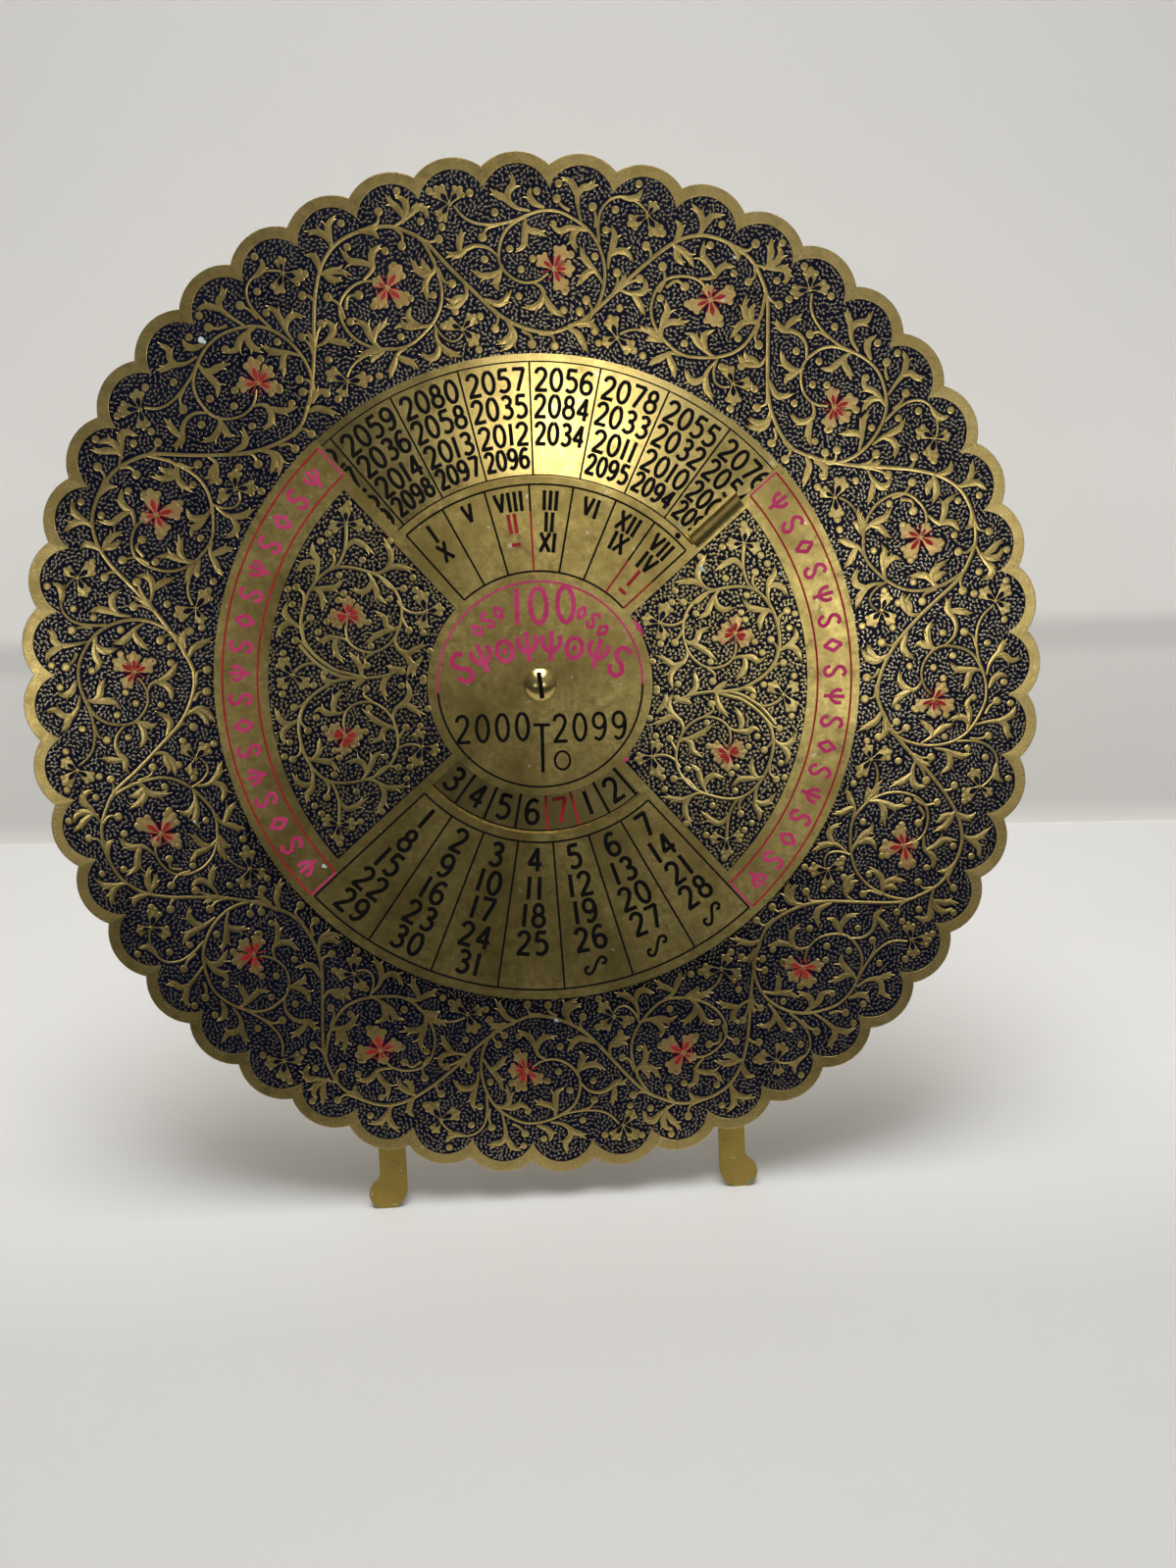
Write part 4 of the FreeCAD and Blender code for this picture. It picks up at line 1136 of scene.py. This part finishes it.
def aged_brass(name, light, dark, stain, rough, grain=0.5, stain_from=0.56, mottle=0.5):
    """Brass with cloudy tarnish, small brown stains, fine scratches and pits."""
    shader = Shader(name)
    place = shader.plate_place()
    cloud = shader.noise(place, 44.0, 6.0, 0.66)
    colour = shader.ramp(cloud, [(0.38, dark), (0.62, light)])
    fine = shader.noise(place, 620.0, 4.0, 0.75)
    colour = shader.mix(shader.between(fine, 0.38, 0.66, 0.0, mottle), colour, dark)
    spots = shader.noise(place, 190.0, 6.0, 0.75)
    colour = shader.mix(shader.between(spots, stain_from, stain_from + 0.14, 0.0, 0.6), colour, stain)
    specks = shader.noise(place, 420.0, 2.0, 0.5)
    colour = shader.mix(shader.between(specks, 0.70, 0.76, 0.0, 0.7), colour, (0.80, 0.74, 0.55))
    scratch = shader.noise(place, 260.0, 3.0, 0.65, (1.0, 9.0, 1.0))
    worn = shader.bump(scratch, 0.12 * grain, 0.0002)
    pits = shader.bump(shader.noise(place, 1400.0, 2.0, 0.6), 0.25 * grain, 0.0001, worn)
    shader.fill(shader.surface, Base_Color=colour, Metallic=1.0, Normal=pits,
                Roughness=shader.between(spots, 0.3, 0.75, rough - 0.04, rough + 0.10))
    return shader.material


def enamel(name, colour, other, rough=0.34, shine=0.22):
    """Hard enamel or paint, unevenly laid."""
    shader = Shader(name)
    cloud = shader.noise(shader.place, 160.0, 4.0, 0.6)
    shader.fill(shader.surface, Base_Color=shader.mix(shader.between(cloud, 0.35, 0.7), colour, other),
                Specular_IOR_Level=shine, Roughness=shader.between(cloud, 0.3, 0.7, rough, rough + 0.2),
                Normal=shader.bump(shader.noise(shader.place, 700.0), 0.2, 0.0002))
    return shader.material


plate_brass = aged_brass("plate brass", (0.62, 0.475, 0.18), (0.48, 0.355, 0.12), (0.24, 0.16, 0.06), 0.25)
grain_brass = aged_brass("grain brass", (0.50, 0.44, 0.31), (0.36, 0.31, 0.20), (0.18, 0.14, 0.08), 0.28)
washed_brass = aged_brass("painted brass", (0.62, 0.47, 0.19), (0.57, 0.38, 0.14), (0.42, 0.04, 0.03), 0.30,
                          0.3, 0.55)
dial_brass = aged_brass("dial brass", (0.69, 0.55, 0.21), (0.54, 0.41, 0.14), (0.40, 0.28, 0.10), 0.165, 0.03,
                        0.62, 0.15)
cover_brass = aged_brass("cover brass", (0.68, 0.535, 0.185), (0.33, 0.245, 0.075), (0.16, 0.11, 0.05), 0.29,
                         0.3, 0.54, 0.8)
cover_pattern_brass = aged_brass("cover relief", (0.62, 0.49, 0.19), (0.50, 0.38, 0.13), (0.30, 0.2, 0.08),
                                 0.27)
cover_grain_brass = aged_brass("cover grains", (0.60, 0.50, 0.25), (0.44, 0.36, 0.16), (0.24, 0.18, 0.09),
                               0.29)
fitting_brass = aged_brass("fitting brass", (0.72, 0.57, 0.22), (0.58, 0.44, 0.15), (0.20, 0.14, 0.06), 0.22,
                           0.2)
stand_brass = aged_brass("stand brass", (0.44, 0.32, 0.085), (0.34, 0.24, 0.06), (0.18, 0.12, 0.04), 0.36,
                         0.3)
dark_enamel = enamel("dark enamel", (0.0015, 0.002, 0.010), (0.004, 0.005, 0.016), 0.26, 0.09)
black_ink = enamel("black ink", (0.002, 0.002, 0.0025), (0.005, 0.0045, 0.004), 0.50, 0.08)
red_ink = enamel("red ink", (0.24, 0.008, 0.012), (0.38, 0.016, 0.02), 0.45)
pale_fleck = enamel("pale fleck", (0.42, 0.52, 0.50), (0.62, 0.66, 0.60), 0.6)
verdigris = enamel("verdigris", (0.07, 0.22, 0.15), (0.16, 0.34, 0.24), 0.7)
pink_ink = enamel("pink ink", (0.42, 0.022, 0.10), (0.54, 0.05, 0.16), 0.48)

slot_materials = {
    "enamelled_plate": plate_brass, "dial_brass": dial_brass, "cover_brass": cover_brass,
    "fitting_brass": fitting_brass, "stand_brass": stand_brass,
}
for part in frame["record"]["subparts"]:
    node = frame["nodes"][part["node"]]
    node.data.materials.clear()
    node.data.materials.append(slot_materials[part["material_slot"]])

make_rim(plate_brass, dark_enamel, "enamelled_plate")
make_border(plate_brass, washed_brass, grain_brass, dark_enamel, red_ink, "enamelled_plate")
make_sectors(cover_pattern_brass, washed_brass, cover_grain_brass, dark_enamel, red_ink, "cover_brass")
make_year_marks(black_ink, red_ink, "dial_brass")
make_cover_marks(black_ink, red_ink, pink_ink, "cover_brass")
make_small_marks(black_ink, pale_fleck, pink_ink, verdigris)

# The floor, a wall behind, lamps and the camera.
floor_reach = 0.9
wall_y, wall_turn, wall_height = 0.197, -0.0746, 0.9


def sheet(name, corners, material):
    add_mesh(name, corners, [tuple(range(len(corners)))], material)


def wall_point(x, z):
    return (x, wall_y + wall_turn * x, z)


def lamp(name, size, power, place, target, colour=(1.0, 1.0, 1.0)):
    data = bpy.data.lights.new(name, "AREA")
    data.shape, data.size, data.energy, data.color = "DISK", size, power, colour
    made = bpy.data.objects.new(name, data)
    made.location = place
    made.rotation_euler = (Vector(target) - Vector(place)).to_track_quat("-Z", "Y").to_euler()
    bpy.context.scene.collection.objects.link(made)


def banded_material(name, axis, low, high, stops, rough, one_sided=False):
    """A surface whose grey changes along an axis. A one-sided one lets the light through from behind."""
    shader = Shader(name)
    along = shader.add("ShaderNodeSeparateXYZ", Vector=shader.place).outputs[axis]
    greys = [(at, (value, value * 0.985, value * 0.95)) for at, value in stops]
    shade = shader.ramp(shader.between(along, low, high), greys)
    shader.fill(shader.surface, Base_Color=shade, Roughness=rough)
    if one_sided:
        clear = shader.add("ShaderNodeBsdfTransparent").outputs["BSDF"]
        behind = shader.add("ShaderNodeNewGeometry").outputs["Backfacing"]
        both = shader.add("ShaderNodeMixShader", Fac=behind)
        shader.set(both.inputs[1], shader.surface.outputs["BSDF"])
        shader.set(both.inputs[2], clear)
        shader.fill(shader.tree.nodes["Material Output"], Surface=both.outputs["Shader"])
    return shader.material


# The floor's grey is painted by depth as painted shade and light: nearly black in front, for a dark room
# before the plate, then a little darker just before the plate and lighter under and behind it.
corners = [(x * floor_reach, y * floor_reach, 0) for x, y in ((-1, -1), (1, -1), (1, 1), (-1, 1))]
sheet("floor", corners, banded_material("floor with painted shade", "Y", -floor_reach, floor_reach, [
    (0.0, 0.012), (0.37, 0.02), (0.398, 0.07), (0.409, 0.385), (0.453, 0.38), (0.50, 0.49), (0.55, 0.475),
    (0.61, 0.50),
], 0.6))
# The wall's grey is painted by height: a low darker strip with a dark line along its top, and above it a grey
# that darkens upwards, painted shade for the light falling off.
corners = [wall_point(x * floor_reach, z * wall_height) for x, z in ((-1, 0), (1, 0), (1, 1), (-1, 1))]
sheet("wall", corners, banded_material("wall with painted shade", "Z", 0.0, wall_height, [
    (0.0, 0.86), (0.012, 0.69), (0.084, 0.78), (0.090, 0.69), (0.098, 0.69), (0.106, 0.89), (0.17, 0.91),
    (0.257, 0.81), (0.37, 0.66),
], 0.9, one_sided=True))

world = bpy.data.worlds.new("room")
bpy.context.scene.world = world
world.use_nodes = True
room = Nodes(world.node_tree)
heading = room.add("ShaderNodeTexCoord").outputs["Generated"]
axes = room.add("ShaderNodeSeparateXYZ", Vector=heading).outputs


def room_ramp(axis, low, high, stops):
    """A strength that changes with one axis of the direction into the room."""
    shares = [((at - low) / (high - low), (value, value, value)) for at, value in stops]
    return room.ramp(room.between(axes[axis], low, high), shares)


def product(first, second):
    node = room.add("ShaderNodeMath", {"operation": "MULTIPLY"})
    room.set(node.inputs[0], first)
    room.set(node.inputs[1], second)
    return node.outputs["Value"]


# The room is dark below the horizon, brightest about two thirds of the way up, and brighter on the right.
from_below = room_ramp("Z", -0.2, 1.0, [
    (-0.2, 0.008), (-0.08, 0.010), (-0.01, 0.05), (0.06, 0.11), (0.16, 0.125), (0.26, 0.10), (0.33, 0.09),
    (0.40, 0.155), (0.48, 0.155), (0.55, 0.20), (0.66, 0.22), (0.80, 0.08), (1.0, 0.07),
])
from_left = room_ramp("X", -0.4, 0.4, [
    (-0.4, 0.46), (-0.23, 0.62), (-0.13, 0.30), (-0.03, 0.27), (0.02, 0.64), (0.10, 0.61), (0.16, 0.82),
    (0.4, 1.0),
])
room_strength = 1.7
room.fill(room.tree.nodes["Background"], Color=(0.97, 0.98, 1.0, 1),
          Strength=product(product(from_below, from_left), room_strength))
lamp("key", 0.14, 0.29, (0.045, -0.90, 0.61), pivot, (1.0, 0.96, 0.88))
lamp("top", 1.0, 9.8, (0.0, -0.16, 1.35), (0, -0.02, 0))
lamp("back", 0.6, 9.3, (0.0, 0.03, 0.95), (0, 0.20, 0.12))
lamp("left", 0.17, 0.34, (-0.54, -0.96, 0.38), pivot)
lamp("right", 0.22, 0.54, (0.34, -0.98, 0.42), pivot)

# The camera, fitted to the photograph: its turns against the plate, and the pivot's place before it.
photo_height, focal_length = 1599, 1250
sensor_width = 36
half_plate = 127
camera_turns = (0.1103, 0.0450, 0.0447)
camera_shift = (-0.0937 * half_plate, 0.1954 * half_plate, -2.413 * half_plate)
turn = Matrix.Identity(3)
for angle, axis in zip(camera_turns, "XYZ"):
    turn = turn @ Matrix.Rotation(angle, 3, axis)
basis = Matrix((across, upward, normal)).transposed()
data = bpy.data.cameras.new("camera")
data.lens = focal_length * sensor_width / photo_height
data.sensor_width = sensor_width
data.clip_start = 0.01
camera = bpy.data.objects.new("camera", data)
place = basis @ (-(turn.transposed() @ Vector(camera_shift)) * MM) + Vector(pivot)
camera.matrix_world = Matrix.Translation(place) @ (basis @ turn.transposed()).to_4x4()
bpy.context.scene.collection.objects.link(camera)
bpy.context.scene.camera = camera
bpy.context.scene.view_settings.view_transform = "Standard"
